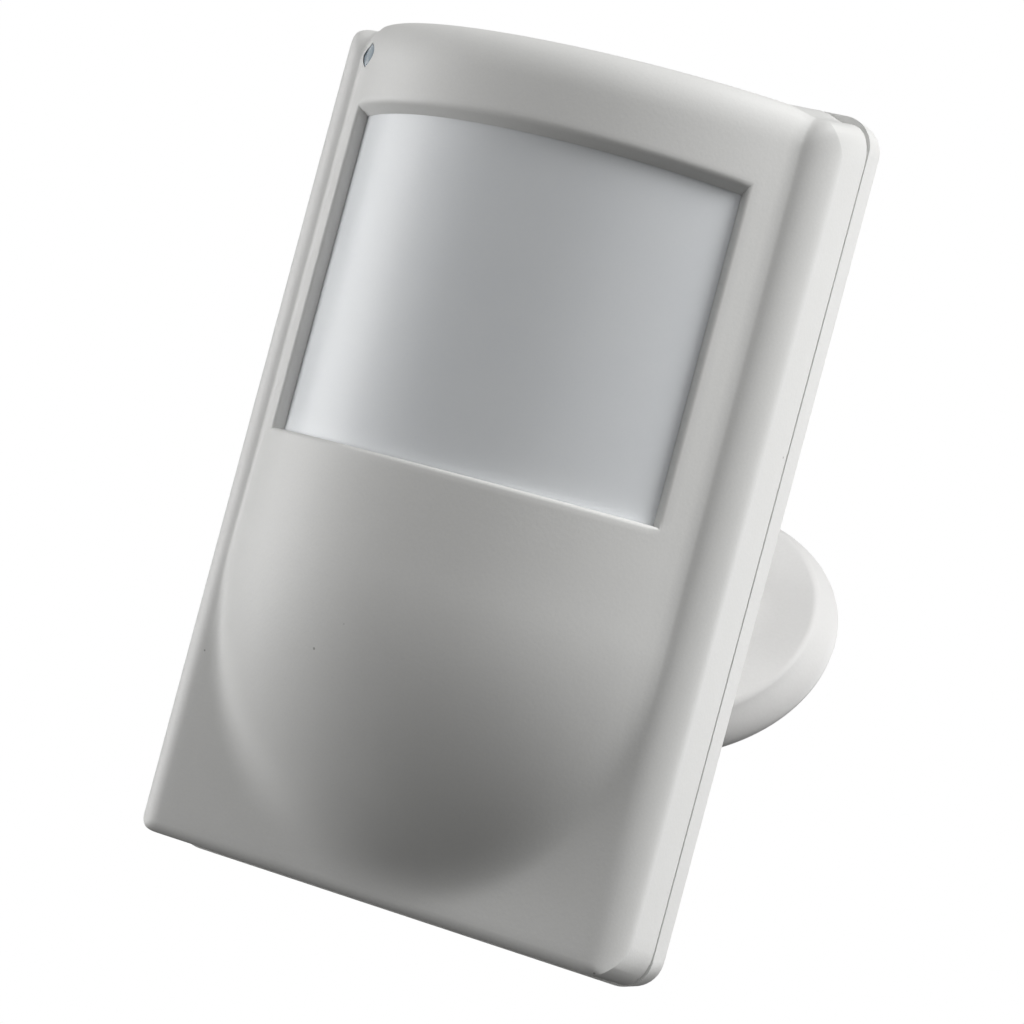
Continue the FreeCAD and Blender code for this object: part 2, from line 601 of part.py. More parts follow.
def radio_module():
    """Radio board standing flat on the main board, with its metal screen."""
    under = BOARD_FRONT + RADIO_LIFT
    board = box(RADIO_X0, RADIO_X1, under, under + RADIO_T, RADIO_Z0, RADIO_Z1)
    pins = box(RADIO_X0 + 1, RADIO_X1 - 1, BOARD_FRONT, under, RADIO_Z0 + 0.5, RADIO_Z0 + 2)
    return board.fuse(pins).removeSplitter()


def radio_screen():
    """Metal can over the radio's parts."""
    seat = BOARD_FRONT + RADIO_LIFT + RADIO_T
    return box(RADIO_X0 + 1.5, RADIO_X1 - 5.5, seat, seat + 2.2, RADIO_Z0 + 3, RADIO_Z1 - 1)


def antenna():
    """Wire aerial: up from the board, then along its upper edge."""
    depth = BOARD_FRONT + 2.2
    rise = rod(ANTENNA_X1, ANTENNA_Z, ANTENNA_R, BOARD_FRONT, depth)
    run = cross_rod(depth, ANTENNA_Z, ANTENNA_R, ANTENNA_X0, ANTENNA_X1)
    knee = Part.makeSphere(ANTENNA_R, V(ANTENNA_X1, -depth, ANTENNA_Z))
    return rise.fuse([run, knee]).removeSplitter()


def capacitors():
    """Two upright electrolytic capacitors."""
    cans = []
    for x, z, r, h in CAN_SIZES:
        can = rod(x, z, r, BOARD_FRONT, BOARD_FRONT + h)
        rims = [e for e in can.Edges if e.Curve.TypeId == "Part::GeomCircle"]
        cans.append(can.makeFillet(0.35, rims))
    return Part.makeCompound(cans)


def surface_parts():
    """Small surface-mounted parts in two rows."""
    bits = []
    for k in range(6):
        z = COLUMN_TOP - COLUMN_PITCH * k
        bits.append(box(COLUMN_X, COLUMN_X + 2, BOARD_FRONT, BOARD_FRONT + 0.6, z, z + 1.2))
    for k in range(5):
        x = ROW_X + ROW_PITCH * k
        bits.append(box(x, x + 1.2, BOARD_FRONT, BOARD_FRONT + 0.6, ROW_Z, ROW_Z + 2))
    return Part.makeCompound(bits)


def jumper_pins():
    """Two-pin header for the indicator's on-off link."""
    block = box(HEADER_X - 2.5, HEADER_X + 2.5, BOARD_FRONT, BOARD_FRONT + 2.4, HEADER_Z - 1.2, HEADER_Z + 1.2)
    for x in (HEADER_X - HEADER_PITCH / 2, HEADER_X + HEADER_PITCH / 2):
        pin = box(x - 0.3, x + 0.3, BOARD_FRONT + 2.0, BOARD_FRONT + 8.0, HEADER_Z - 0.3, HEADER_Z + 0.3)
        block = block.fuse(pin)
    return block.removeSplitter()


def jumper_cap():
    """Shorting cap on the header."""
    low = BOARD_FRONT + 2.5
    cap = box(HEADER_X - 2.4, HEADER_X + 2.4, low, low + 6.1, HEADER_Z - 1.15, HEADER_Z + 1.15)
    for x in (HEADER_X - HEADER_PITCH / 2, HEADER_X + HEADER_PITCH / 2):
        cap = cap.cut(box(x - 0.35, x + 0.35, low - 0.5, low + 5.6, HEADER_Z - 0.35, HEADER_Z + 0.35))
    return cap


def indicator_led():
    """Light-emitting diode under the light guide."""
    body = rod(LED_X, LED_Z - 3.0, 1.2, BOARD_FRONT, BOARD_FRONT + 0.8)
    return body.fuse(rod(LED_X, LED_Z - 3.0, 1.0, BOARD_FRONT + 0.8, BOARD_FRONT + 1.7)).removeSplitter()


def learn_switch():
    """Square push switch body for pairing."""
    body = box(-3, 3, BOARD_FRONT, BOARD_FRONT + 3.4, BUTTON_Z - 3, BUTTON_Z + 3)
    return body.cut(rod(0, BUTTON_Z, 1.8, BOARD_FRONT + 1.2, BOARD_FRONT + 4))


def learn_button():
    """Round key of the pairing switch."""
    return rod(0, BUTTON_Z, 1.72, BOARD_FRONT + 1.8, BOARD_FRONT + 4.6)


def tamper_switch():
    """Body of the switch that tells whether the cover is shut."""
    body = box(TAMPER_X - 3.5, TAMPER_X + 3.5, BOARD_FRONT, BOARD_FRONT + 3.6, TAMPER_Z - 3, TAMPER_Z + 3)
    return body.cut(rod(TAMPER_X, TAMPER_Z, 1.35, BOARD_FRONT + 0.8, BOARD_FRONT + 4))


def tamper_plunger():
    """Plunger that the closed cover's post holds down."""
    stem = rod(TAMPER_X, TAMPER_Z, 1.28, BOARD_FRONT + 2.2, BOARD_FRONT + 5.6)
    return stem.fuse(rod(TAMPER_X, TAMPER_Z, 2.1, BOARD_FRONT + 5.6, BOARD_FRONT + 6.6)).removeSplitter()


def tamper_post():
    """Post inside the front cover that presses the tamper plunger."""
    post = rod(TAMPER_X, TAMPER_Z, 1.5, BOARD_FRONT + 6.9, 40)
    return post.common(front_form(WALL - 0.3))


BRACKET_TURNED = {
    "wall_plate": wall_plate,
    "swivel_turret": turret,
    "tilt_bolt": tilt_bolt,
    "tilt_nut": tilt_nut,
}

DETECTOR_TILTED = {
    "swivel_arm": swivel_arm,
    "head_plate": head_plate,
    "head_washer": head_washer,
    "head_screw": head_screw,
    "head_plate_screws": plate_screws,
    "rear_cover": rear_cover,
    "fresnel_lens": fresnel_lens,
    "lens_frame": lens_frame,
    "led_window": led_window,
    "circuit_board": circuit_board,
    "board_screws": board_screws,
    "sensor_holder": sensor_holder,
    "sensor_can": sensor_can,
    "sensor_filter": sensor_filter,
    "sensor_leads": sensor_leads,
    "battery": battery,
    "battery_cradle": battery_cradle,
    "contact_plate": contact_plate,
    "contact_spring": contact_spring,
    "controller_chip": controller_chip,
    "amplifier_chip": amplifier_chip,
    "radio_module": radio_module,
    "radio_screen": radio_screen,
    "antenna": antenna,
    "capacitors": capacitors,
    "surface_parts": surface_parts,
    "jumper_pins": jumper_pins,
    "jumper_cap": jumper_cap,
    "indicator_led": indicator_led,
    "learn_switch": learn_switch,
    "learn_button": learn_button,
    "tamper_switch": tamper_switch,
    "tamper_plunger": tamper_plunger,
}


def save(name, shape):
    """Writes one node's STEP file."""
    shape.exportStep("parts/%s.step" % name)


def main():
    """Builds every node and writes its file."""
    os.makedirs("parts", exist_ok=True)
    for name, make in BRACKET_TURNED.items():
        save(name, make())
    save("turret_washer", swivel_washer(RECESS_DEPTH))
    save("turret_screw", swivel_screw(RECESS_DEPTH))
    tilted = rest_placement()
    shapes = {name: make() for name, make in DETECTOR_TILTED.items()}
    shapes["front_cover"] = front_cover().fuse(tamper_post()).removeSplitter()
    for name, shape in shapes.items():
        shape.Placement = tilted.multiply(shape.Placement)
        save(name, shape)


main()
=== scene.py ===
"""Looks of a wall-mounted motion sensor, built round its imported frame.

The detector is modelled upright, with x to its right, y into the wall and z up, and then
tilted into the row frame by DetectorPlace. All sizes are metres.
"""

import json
import logging
import math
from contextlib import contextmanager
from dataclasses import dataclass, field
from enum import Enum
from typing import Callable, Iterator, Sequence

import bmesh
import bpy
from mathutils import Matrix, Vector


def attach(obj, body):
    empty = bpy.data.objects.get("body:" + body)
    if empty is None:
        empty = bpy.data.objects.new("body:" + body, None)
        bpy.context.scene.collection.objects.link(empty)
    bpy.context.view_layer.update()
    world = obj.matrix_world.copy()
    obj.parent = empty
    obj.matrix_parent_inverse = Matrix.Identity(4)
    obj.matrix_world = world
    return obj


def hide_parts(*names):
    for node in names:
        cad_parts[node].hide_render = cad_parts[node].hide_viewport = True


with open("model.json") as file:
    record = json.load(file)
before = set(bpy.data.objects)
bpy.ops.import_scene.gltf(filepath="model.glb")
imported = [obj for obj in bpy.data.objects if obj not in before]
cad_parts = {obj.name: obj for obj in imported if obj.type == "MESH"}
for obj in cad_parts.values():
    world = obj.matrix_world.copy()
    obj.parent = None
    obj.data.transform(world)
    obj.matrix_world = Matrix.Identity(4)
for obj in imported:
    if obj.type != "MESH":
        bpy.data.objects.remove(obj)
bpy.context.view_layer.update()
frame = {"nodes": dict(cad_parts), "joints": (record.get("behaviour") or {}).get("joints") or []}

MM = 0.001
LOG = logging.getLogger("motion_sensor")
logging.basicConfig(level=logging.INFO, format="%(name)s: %(message)s")

Colour = tuple[float, float, float]


# ------------------------------------------------------------------ places

@dataclass(frozen=True)
class DetectorPlace:
    """Where the upright detector stands in the row frame."""

    arm_length: float = 47.3 * MM
    arm_height: float = -2.6 * MM

    def matrix(self) -> Matrix:
        """The matrix from the upright detector to the row frame.

        Returns:
            The tilt about the arm's pivot, with the detector's back face at the arm's end.
        """
        joints = {joint["name"]: joint for joint in frame["joints"]}
        pivot = Vector(joints["arm_tilt"]["pos_m"])
        outward = Vector(joints["head_turn"]["axis"])
        tilt = math.atan2(-outward.z, -outward.y)
        turn = Matrix.Rotation(tilt, 4, "X")
        stand = Matrix.Translation((0.0, -self.arm_length, -self.arm_height))
        return Matrix.Translation(pivot) @ turn @ stand


PLACE = DetectorPlace().matrix()


def spaced(marks: Sequence[tuple[float, int]]) -> list[float]:
    """Positions along a line.

    Args:
        marks: A start value with 0 steps, then each next value with the steps that lead to it.

    Returns:
        All positions in order, both ends included.
    """
    places = [marks[0][0]]
    for end, steps in marks[1:]:
        start = places[-1]
        places += [start + (end - start) * (k + 1) / steps for k in range(steps)]
    return places


def turned(start: float, radius: float, steps: int) -> list[float]:
    """Positions across a quarter round, closer together where it turns away.

    Args:
        start: Where the round's flat side begins.
        radius: The round's radius.
        steps: How many positions follow the start.

    Returns:
        The positions after the start, up to the round's end.
    """
    angles = [math.pi / 2 * (k + 1) / steps for k in range(steps)]
    return [start + radius * math.sin(angle) for angle in angles]


def soft_step(value: float, low: float, high: float) -> float:
    """A smooth rise from 0 at low to 1 at high."""
    share = min(max((value - low) / (high - low), 0.0), 1.0)
    return share * share * (3 - 2 * share)


def soft_greater(a: float, b: float, reach: float) -> float:
    """The greater of two heights, with a hollow fillet of that reach where they meet."""
    near = max(reach - abs(a - b), 0.0) / reach
    return max(a, b) + near * near * reach / 4


# ------------------------------------------------------------------ modelling

class Workpiece:
    """A mesh on the bench: a primitive that is shaped, finished and handed over."""

    def __init__(self, name: str) -> None:
        """Takes the primitive that was just added.

        Args:
            name: The finished piece's name.
        """
        self.item = bpy.context.object
        self.item.name = name
        self.item.data.name = name
        self.face(Matrix.Identity(4))

    @property
    def mesh(self) -> bpy.types.Mesh:
        """The piece's mesh."""
        return self.item.data

    def face(self, matrix: Matrix) -> "Workpiece":
        """Moves the mesh itself, and leaves the object at the origin."""
        self.mesh.transform(matrix @ self.item.matrix_basis)
        self.item.matrix_basis = Matrix.Identity(4)
        return self

    @contextmanager
    def editing(self, mode: str = "VERT") -> Iterator[bmesh.types.BMesh]:
        """Opens the mesh in edit mode with nothing selected.

        Args:
            mode: Which elements are picked: VERT, EDGE or FACE.

        Yields:
            The mesh being edited.
        """
        alone(self.item)
        bpy.ops.object.mode_set(mode="EDIT")
        bpy.ops.mesh.select_mode(type=mode)
        bpy.ops.mesh.select_all(action="DESELECT")
        try:
            yield bmesh.from_edit_mesh(self.mesh)
        finally:
            bpy.ops.object.mode_set(mode="OBJECT")

    def modify(self, kind: str, **settings: object) -> "Workpiece":
        """Adds a modifier with these settings and applies it."""
        alone(self.item)
        modifier = self.item.modifiers.new(kind.title(), kind)
        for key, value in settings.items():
            setattr(modifier, key, value)
        bpy.ops.object.modifier_apply(modifier=modifier.name)
        return self

    def smooth(self, angle: float = 32.0) -> "Workpiece":
        """Shades smooth, with edges that are sharper than the angle in degrees left crisp."""
        alone(self.item)
        bpy.ops.object.shade_smooth_by_angle(angle=math.radians(angle))
        return self

    def outward(self) -> "Workpiece":
        """Merges doubles and turns the faces outwards."""
        with self.editing():
            bpy.ops.mesh.select_all(action="SELECT")
            bpy.ops.mesh.remove_doubles(threshold=0.002 * MM)
            bpy.ops.mesh.normals_make_consistent(inside=False)
        return self

    def cut(self, cutter: "Workpiece") -> "Workpiece":
        """Takes another piece's volume away, and that piece with it."""
        self.modify("BOOLEAN", operation="DIFFERENCE", object=cutter.item, solver="EXACT")
        cutter.discard()
        return self

    def join(self, others: Sequence["Workpiece"]) -> "Workpiece":
        """Makes the others part of this piece's mesh."""
        alone(self.item)
        for other in others:
            other.item.select_set(True)
        bpy.ops.object.join()
        return self

    def discard(self) -> None:
        """Removes the piece."""
        bpy.data.meshes.remove(self.mesh)

    def hand_over(
        self,
        finish: "Finish",
        body: str,
        slot: "Slot",
        replaces: Sequence[str] = (),
    ) -> bpy.types.Object:
        """Gives the piece its finish and its place in the frame.

        Args:
            finish: What it is made of.
            body: The body that it rides on.
            slot: The record's material slot; not used.
            replaces: CAD nodes that it stands for.

        Returns:
            The finished object.
        """
        self.mesh.materials.clear()
        self.mesh.materials.append(finish.dress())
        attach(self.item, body)
        if replaces:
            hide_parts(*replaces)
        LOG.info("%s rides on %s, %d faces", self.item.name, body, len(self.mesh.polygons))
        return self.item


def alone(item: bpy.types.Object) -> None:
    """Makes one object the only selected and the active one."""
    bpy.ops.object.select_all(action="DESELECT")
    item.select_set(True)
    bpy.context.view_layer.objects.active = item


def cylinder(name: str, radius: float, low: Vector, high: Vector, sides: int = 64) -> Workpiece:
    """A round bar between two points."""
    along = high - low
    turn = along.to_track_quat("Z", "Y").to_euler()
    bpy.ops.object.select_all(action="DESELECT")
    bpy.ops.mesh.primitive_cylinder_add(
        vertices=sides, radius=radius, depth=along.length, location=(low + high) / 2, rotation=turn)
    return Workpiece(name)


def lathe(name: str, profile: Sequence[tuple[float, float]], steps: int = 96) -> Workpiece:
    """Spins a profile about the y axis.

    Args:
        name: The piece's name.
        profile: Points of (radius, distance out from the wall), in order.
        steps: How many faces go round.

    Returns:
        The turned piece, with its faces outwards.
    """
    bpy.ops.object.select_all(action="DESELECT")
    bpy.ops.mesh.primitive_plane_add(size=MM)
    piece = Workpiece(name)
    with piece.editing() as mesh:
        for vert in mesh.verts[:][1:]:
            mesh.verts.remove(vert)
        first = mesh.verts[:][0]
        first.co = (profile[0][0], -profile[0][1], 0)
        first.select_set(True)
        bmesh.update_edit_mesh(piece.mesh)
        for (r0, d0), (r1, d1) in zip(profile, profile[1:]):
            bpy.ops.mesh.extrude_vertices_move(
                TRANSFORM_OT_translate={"value": (r1 - r0, d0 - d1, 0)})
        bpy.ops.mesh.select_all(action="SELECT")
        bpy.ops.mesh.spin(
            steps=steps, angle=2 * math.pi, center=(0, 0, 0), axis=(0, 1, 0), use_auto_merge=True)
    return piece.outward()


# ------------------------------------------------------------------ shader maths

class Slot(Enum):
    """The record's material slots."""

    FRONT = "front_housing"
    REAR = "rear_housing"
    BRACKET = "bracket"
    LENS = "lens_film"
    FRAME = "frame_plastic"
    WINDOW = "window"
    BOARD = "board"
    STEEL = "steel"
    NICKEL = "nickel"
    FILTER = "filter_glass"
    CELL = "cell_sleeve"
    BLACK = "black_plastic"
    CAN = "cap_sleeve"
    SMALL = "smd"
    AERIAL = "aerial"
    LED = "led_resin"
    BUTTON = "button_plastic"


class Number:
    """A shader number. Arithmetic on it adds Math nodes."""

    def __init__(self, recipe: "Recipe", socket: bpy.types.NodeSocket) -> None:
        """Wraps a socket of a recipe's node."""
        self.recipe = recipe
        self.socket = socket

    def maths(self, operation: str, *values: object, clamp: bool = False) -> "Number":
        """One Math node on these values."""
        inputs = dict(enumerate(values))
        node = self.recipe.node("ShaderNodeMath", {"operation": operation, "use_clamp": clamp}, inputs)
        return Number(self.recipe, node.outputs[0])

    def __add__(self, other: object) -> "Number":
        """The sum."""
        return self.maths("ADD", self, other)

    __radd__ = __add__

    def __sub__(self, other: object) -> "Number":
        """The difference."""
        return self.maths("SUBTRACT", self, other)

    def __rsub__(self, other: object) -> "Number":
        """The difference, the other way round."""
        return self.maths("SUBTRACT", other, self)

    def __mul__(self, other: object) -> "Number":
        """The product."""
        return self.maths("MULTIPLY", self, other)

    __rmul__ = __mul__

    def __gt__(self, other: object) -> "Number":
        """1 where this is greater."""
        return self.maths("GREATER_THAN", self, other)

    def __lt__(self, other: object) -> "Number":
        """1 where this is less."""
        return self.maths("LESS_THAN", self, other)

    def __abs__(self) -> "Number":
        """The size without its sign."""
        return self.maths("ABSOLUTE", self)

    def greater(self, other: object) -> "Number":
        """The greater of the two."""
        return self.maths("MAXIMUM", self, other)

    def spread(self, low: float, high: float) -> "Number":
        """0 at low and 1 at high, held between them."""
        return self.maths("MULTIPLY", self - low, 1 / (high - low), clamp=True)


class Recipe:
    """A material being put together, node by node."""

    def __init__(self, name: str, place: Matrix | None = None) -> None:
        """Starts an empty material.

        Args:
            name: The material's name.
            place: From the row frame to the frame that the pattern is laid out in.
        """
        self.material = bpy.data.materials.new(name)
        self.material.use_nodes = True
        self.tree = self.material.node_tree
        self.tree.nodes.clear()
        coordinates = self.node("ShaderNodeTexCoord")
        self.where = coordinates.outputs["Object"]
        if place is not None:
            self.where = self.node("ShaderNodeMapping", {"vector_type": "POINT"}, {
                "Vector": self.where,
                "Location": tuple(place.to_translation()),
                "Rotation": tuple(place.to_euler()),
            }).outputs[0]

    def node(self, kind: str, settings: dict | None = None, inputs: dict | None = None) -> bpy.types.Node:
        """Adds one node.

        Args:
            kind: The node's type.
            settings: Attributes that are set first.
            inputs: Values or links, by socket name or number.

        Returns:
            The node.
        """
        node = self.tree.nodes.new(kind)
        for key, value in (settings or {}).items():
            setattr(node, key, value)
        for key, value in (inputs or {}).items():
            socket = node.inputs[key]
            if isinstance(value, Number):
                value = value.socket
            if isinstance(value, bpy.types.NodeSocket):
                self.tree.links.new(value, socket)
            elif isinstance(value, tuple) and len(value) == 3 and socket.type == "RGBA":
                socket.default_value = (*value, 1.0)
            else:
                socket.default_value = value
        return node

    def axes(self) -> tuple[Number, Number, Number]:
        """The pattern's x, y and z, as numbers."""
        split = self.node("ShaderNodeSeparateXYZ", inputs={0: self.where})
        return tuple(Number(self, socket) for socket in split.outputs)

    def stretched(self, factors: tuple[float, float, float]) -> bpy.types.NodeSocket:
        """The coordinates with each axis multiplied by its factor."""
        return self.node("ShaderNodeVectorMath", {"operation": "MULTIPLY"},
                         {0: self.where, 1: factors}).outputs[0]

    def noise(self, size: float, detail: float = 2.0, rough: float = 0.5,
              where: bpy.types.NodeSocket | None = None) -> Number:
        """Cloudy noise whose blotches are about that many metres across."""
        node = self.node("ShaderNodeTexNoise", {"noise_dimensions": "3D"}, {
            "Vector": where or self.where, "Scale": 1 / size, "Detail": detail, "Roughness": rough})
        return Number(self, node.outputs[0])

    def cells(self, size: float) -> Number:
        """Distance in a field of scattered points about that many metres apart."""
        node = self.node("ShaderNodeTexVoronoi", {"feature": "F1"},
                         {"Vector": self.where, "Scale": 1 / size})
        return Number(self, node.outputs["Distance"])

    def blend(self, factor: Number, low: object, high: object) -> bpy.types.NodeSocket:
        """A colour between two, by a factor from 0 to 1."""
        node = self.node("ShaderNodeMix", {"data_type": "RGBA", "clamp_factor": True},
                         {0: factor, 6: low, 7: high})
        return node.outputs[2]

    def bump(self, height: Number, depth: float) -> bpy.types.NodeSocket:
        """A normal that stands for a relief of that depth in metres."""
        inputs = {"Height": height, "Distance": depth, "Strength": 1.0}
        return self.node("ShaderNodeBump", {}, inputs).outputs[0]

    def done(self, **sockets: object) -> bpy.types.Material:
        """Closes the recipe with one Principled shader.

        Args:
            sockets: Its inputs, with _ for the spaces in their names.

        Returns:
            The material.
        """
        inputs = {key.replace("_", " "): value for key, value in sockets.items()}
        shader = self.node("ShaderNodeBsdfPrincipled", {}, inputs)
        output = self.node("ShaderNodeOutputMaterial")
        self.tree.links.new(shader.outputs[0], output.inputs["Surface"])
        return self.material


class Finish:
    """What a piece is made of. Each finish makes its material once."""

    made: dict[str, bpy.types.Material] = {}

    def dress(self) -> bpy.types.Material:
        """The finish's material, made on first use."""
        key = f"{type(self).__name__}{self!r}"
        if key not in Finish.made:
            Finish.made[key] = self.mix()
        return Finish.made[key]

    def mix(self) -> bpy.types.Material:
        """Puts the material together."""
        raise NotImplementedError


@dataclass(frozen=True)
class MouldedPlastic(Finish):
    """Matt ABS with a fine spark-eroded grain, faint flow clouds and a few specks."""

    name: str
    colour: Colour
    roughness: float = 0.5
    grain: float = 0.32 * MM
    relief: float = 0.012 * MM
    cloud: float = 14 * MM
    unevenness: float = 0.03
    specks: float = 0.55
    gloss: float = 0.35

    def mix(self) -> bpy.types.Material:
        """Grain and clouds in colour, roughness and relief."""
        recipe = Recipe(self.name)
        grain = recipe.noise(self.grain, 3.0, 0.6)
        cloud = recipe.noise(self.cloud, 3.0, 0.55)
        dark = tuple(c * (1 - self.unevenness) for c in self.colour)
        light = tuple(min(c * (1 + self.unevenness), 1.0) for c in self.colour)
        tone = (cloud * 0.55 + grain * 0.45).spread(0.3, 0.7)
        colour = recipe.blend(tone, dark, light)
        dot = recipe.cells(9 * MM).spread(0.022, 0.014)
        colour = recipe.blend(dot * self.specks, colour, (0.16, 0.15, 0.14))
        roughness = self.roughness + (grain - 0.5) * 0.22 + (cloud - 0.5) * 0.12
        pits = recipe.cells(self.grain * 1.6)
        normal = recipe.bump(grain * 0.7 + pits * 0.5, self.relief)
        return recipe.done(Base_Color=colour, Roughness=roughness, Normal=normal,
                           Specular_IOR_Level=self.gloss)


@dataclass(frozen=True)
class LensFilm(Finish):
    """Milky polyethylene sheet with a satin face."""

    colour: Colour = (0.86, 0.885, 0.905)

    def mix(self) -> bpy.types.Material:
        """Faint clouds in a cool white, with a very fine satin grain."""
        recipe = Recipe("milky_lens_film", PLACE.inverted())
        cloud = recipe.noise(11 * MM, 3.0)
        grain = recipe.noise(0.28 * MM, 2.0, 0.6)
        warm = tuple(c * f for c, f in zip(self.colour, (0.965, 0.97, 0.98)))
        colour = recipe.blend((cloud * 0.6 + grain * 0.4).spread(0.3, 0.7), warm, self.colour)
        roughness = 0.36 + (grain - 0.5) * 0.2 + (cloud - 0.5) * 0.1
        normal = recipe.bump(grain, 0.006 * MM)
        return recipe.done(Base_Color=colour, Roughness=roughness, Normal=normal,
                           Subsurface_Weight=0.25, Subsurface_Radius=(1.0, 1.0, 1.0),
                           Subsurface_Scale=1.2 * MM, Specular_IOR_Level=0.4)


@dataclass(frozen=True)
class TintedWindow(Finish):
    """Smoky pale blue polycarbonate of the indicator's light guide."""

    colour: Colour = (0.33, 0.41, 0.48)

    def mix(self) -> bpy.types.Material:
        """A glossy tinted body with faint flow marks."""
        recipe = Recipe("tinted_window")
        flow = recipe.noise(1.1 * MM, 2.0)
        light = tuple(c * 1.18 for c in self.colour)
        colour = recipe.blend(flow.spread(0.3, 0.7), self.colour, light)
        return recipe.done(Base_Color=colour, Roughness=0.2 + flow * 0.08, IOR=1.58,
                           Normal=recipe.bump(flow, 0.01 * MM), Coat_Weight=0.3)


@dataclass(frozen=True)
class BareMetal(Finish):
    """Plated or rolled metal with fine scratches and a little tarnish."""

    name: str
    colour: Colour
    roughness: float = 0.3
    scratch: float = 0.35 * MM

    def mix(self) -> bpy.types.Material:
        """Scratches along one way, and tarnish in clouds."""
        recipe = Recipe(self.name)
        streak = recipe.noise(self.scratch, 3.0, 0.6, recipe.stretched((1.0, 0.12, 1.0)))
        cloud = recipe.noise(3.5 * MM, 3.0)
        dull = tuple(c * 0.78 for c in self.colour)
        colour = recipe.blend(cloud.spread(0.35, 0.7), self.colour, dull)
        roughness = self.roughness + (streak - 0.5) * 0.25 + (cloud - 0.5) * 0.15
        return recipe.done(Base_Color=colour, Metallic=1.0, Roughness=roughness,
                           Normal=recipe.bump(streak, 0.006 * MM))


@dataclass(frozen=True)
class BoardLaminate(Finish):
    """Green solder mask over copper tracks, with bare glass fibre at the edges."""

    mask: Colour = (0.012, 0.135, 0.055)
    track: Colour = (0.022, 0.225, 0.085)
    fibre: Colour = (0.42, 0.40, 0.20)
    front: float = 7.2 * MM
    back: float = 5.6 * MM

    def mix(self) -> bpy.types.Material:
        """Tracks from a staggered grid and pads from scattered points."""
        recipe = Recipe("board_laminate", PLACE.inverted())
        x, y, z = recipe.axes()
        plane = recipe.node("ShaderNodeCombineXYZ", inputs={0: x, 1: z, 2: 0.0}).outputs[0]
        runs = recipe.node("ShaderNodeTexBrick", {"offset": 0.37, "offset_frequency": 3}, {
            "Vector": plane, "Scale": 1.0, "Mortar Size": 0.22 * MM, "Mortar Smooth": 0.1,
            "Brick Width": 9.5 * MM, "Row Height": 1.9 * MM})
        copper = Number(recipe, runs.outputs["Fac"])
        patch = recipe.noise(7 * MM, 1.0).spread(0.5, 0.52)
        raised = (copper.greater(patch * 0.999)).spread(0.2, 0.8)
        holes = recipe.node("ShaderNodeTexVoronoi", {"feature": "F1", "voronoi_dimensions": "2D"},
                            {"Vector": plane, "Scale": 1 / (5.2 * MM)})
        via = Number(recipe, holes.outputs["Distance"])
        ring = via.spread(0.105, 0.09)
        hole = via.spread(0.055, 0.045)
        grain = recipe.noise(0.5 * MM, 2.0)
        colour = recipe.blend(raised, self.mask, self.track)
        colour = recipe.blend(ring, colour, (0.72, 0.62, 0.36))
        colour = recipe.blend(hole, colour, (0.02, 0.02, 0.02))
        edge = (abs(y + (self.front + self.back) / 2) < (self.front - self.back) / 2 - 0.02 * MM)
        colour = recipe.blend(edge, colour, self.fibre)
        metal = (ring - hole) * (1 - edge)
        height = raised * 0.6 + ring * 0.4 - hole
        roughness = 0.3 + grain * 0.12 + edge * 0.35
        return recipe.done(Base_Color=colour, Metallic=metal, Roughness=roughness,
                           Normal=recipe.bump(height, 0.035 * MM), Coat_Weight=(1 - edge) * 0.4,
                           Coat_Roughness=0.15)


@dataclass(frozen=True)
class CellSleeve(Finish):
    """Shrink sleeve of the lithium cell: plain bands, a lap seam and bare ends."""

    half: float = 16.7 * MM
    body: Colour = (0.055, 0.16, 0.30)
    band: Colour = (0.62, 0.64, 0.62)

    def mix(self) -> bpy.types.Material:
        """Bands along the cell and puckers where the sleeve wraps its ends."""
        recipe = Recipe("cell_sleeve", PLACE.inverted())
        x, _, z = recipe.axes()
        grain = recipe.noise(0.6 * MM, 2.0)
        band = (x > self.half * 0.52) * (x < self.half * 0.95)
        stripe = abs(x + self.half * 0.62) < 0.5 * MM
        colour = recipe.blend(band.greater(stripe), self.body, self.band)
        bare = abs(x) > self.half - 0.12 * MM
        colour = recipe.blend(bare, colour, (0.66, 0.65, 0.62))
        near_end = abs(x).spread(self.half - 2.2 * MM, self.half - 0.3 * MM)
        pucker = recipe.noise(0.9 * MM, 2.0, 0.5, recipe.stretched((0.15, 1.0, 1.0)))
        seam = abs(z + 18 * MM) < 0.15 * MM
        height = pucker * near_end + seam * 0.35 + grain * 0.08
        roughness = 0.26 + grain * 0.1 + bare * 0.1
        return recipe.done(Base_Color=colour, Metallic=bare, Roughness=roughness,
                           Normal=recipe.bump(height, 0.06 * MM), Coat_Weight=(1 - bare) * 0.5,
                           Coat_Roughness=0.12)


@dataclass(frozen=True)
class TwoPart(Finish):
    """A moulded body with metal on it, such as a chip, a pin header or a capacitor.

    The metal is what lies outside a band of x, or in front of a depth, in the upright detector.
    """

    name: str
    body: Colour
    metal: Colour
    centre: float = 0.0
    half: float = 1.0
    deeper_than: float = 1.0
    roughness: float = 0.5
    grain: float = 0.35 * MM

    def mix(self) -> bpy.types.Material:
        """Fine grain on the body, and a tinned sheen on the metal."""
        recipe = Recipe(self.name, PLACE.inverted())
        x, y, _ = recipe.axes()
        grain = recipe.noise(self.grain, 3.0, 0.6)
        metal = (abs(x - self.centre) > self.half).greater(y < -self.deeper_than)
        pale = tuple(min(c * 1.35 + 0.01, 1.0) for c in self.body)
        colour = recipe.blend(grain.spread(0.35, 0.7), self.body, pale)
        colour = recipe.blend(metal, colour, self.metal)
        roughness = self.roughness + (grain - 0.5) * 0.2 - metal * (self.roughness - 0.28)
        return recipe.done(Base_Color=colour, Metallic=metal, Roughness=roughness,
                           Normal=recipe.bump(grain, 0.02 * MM))


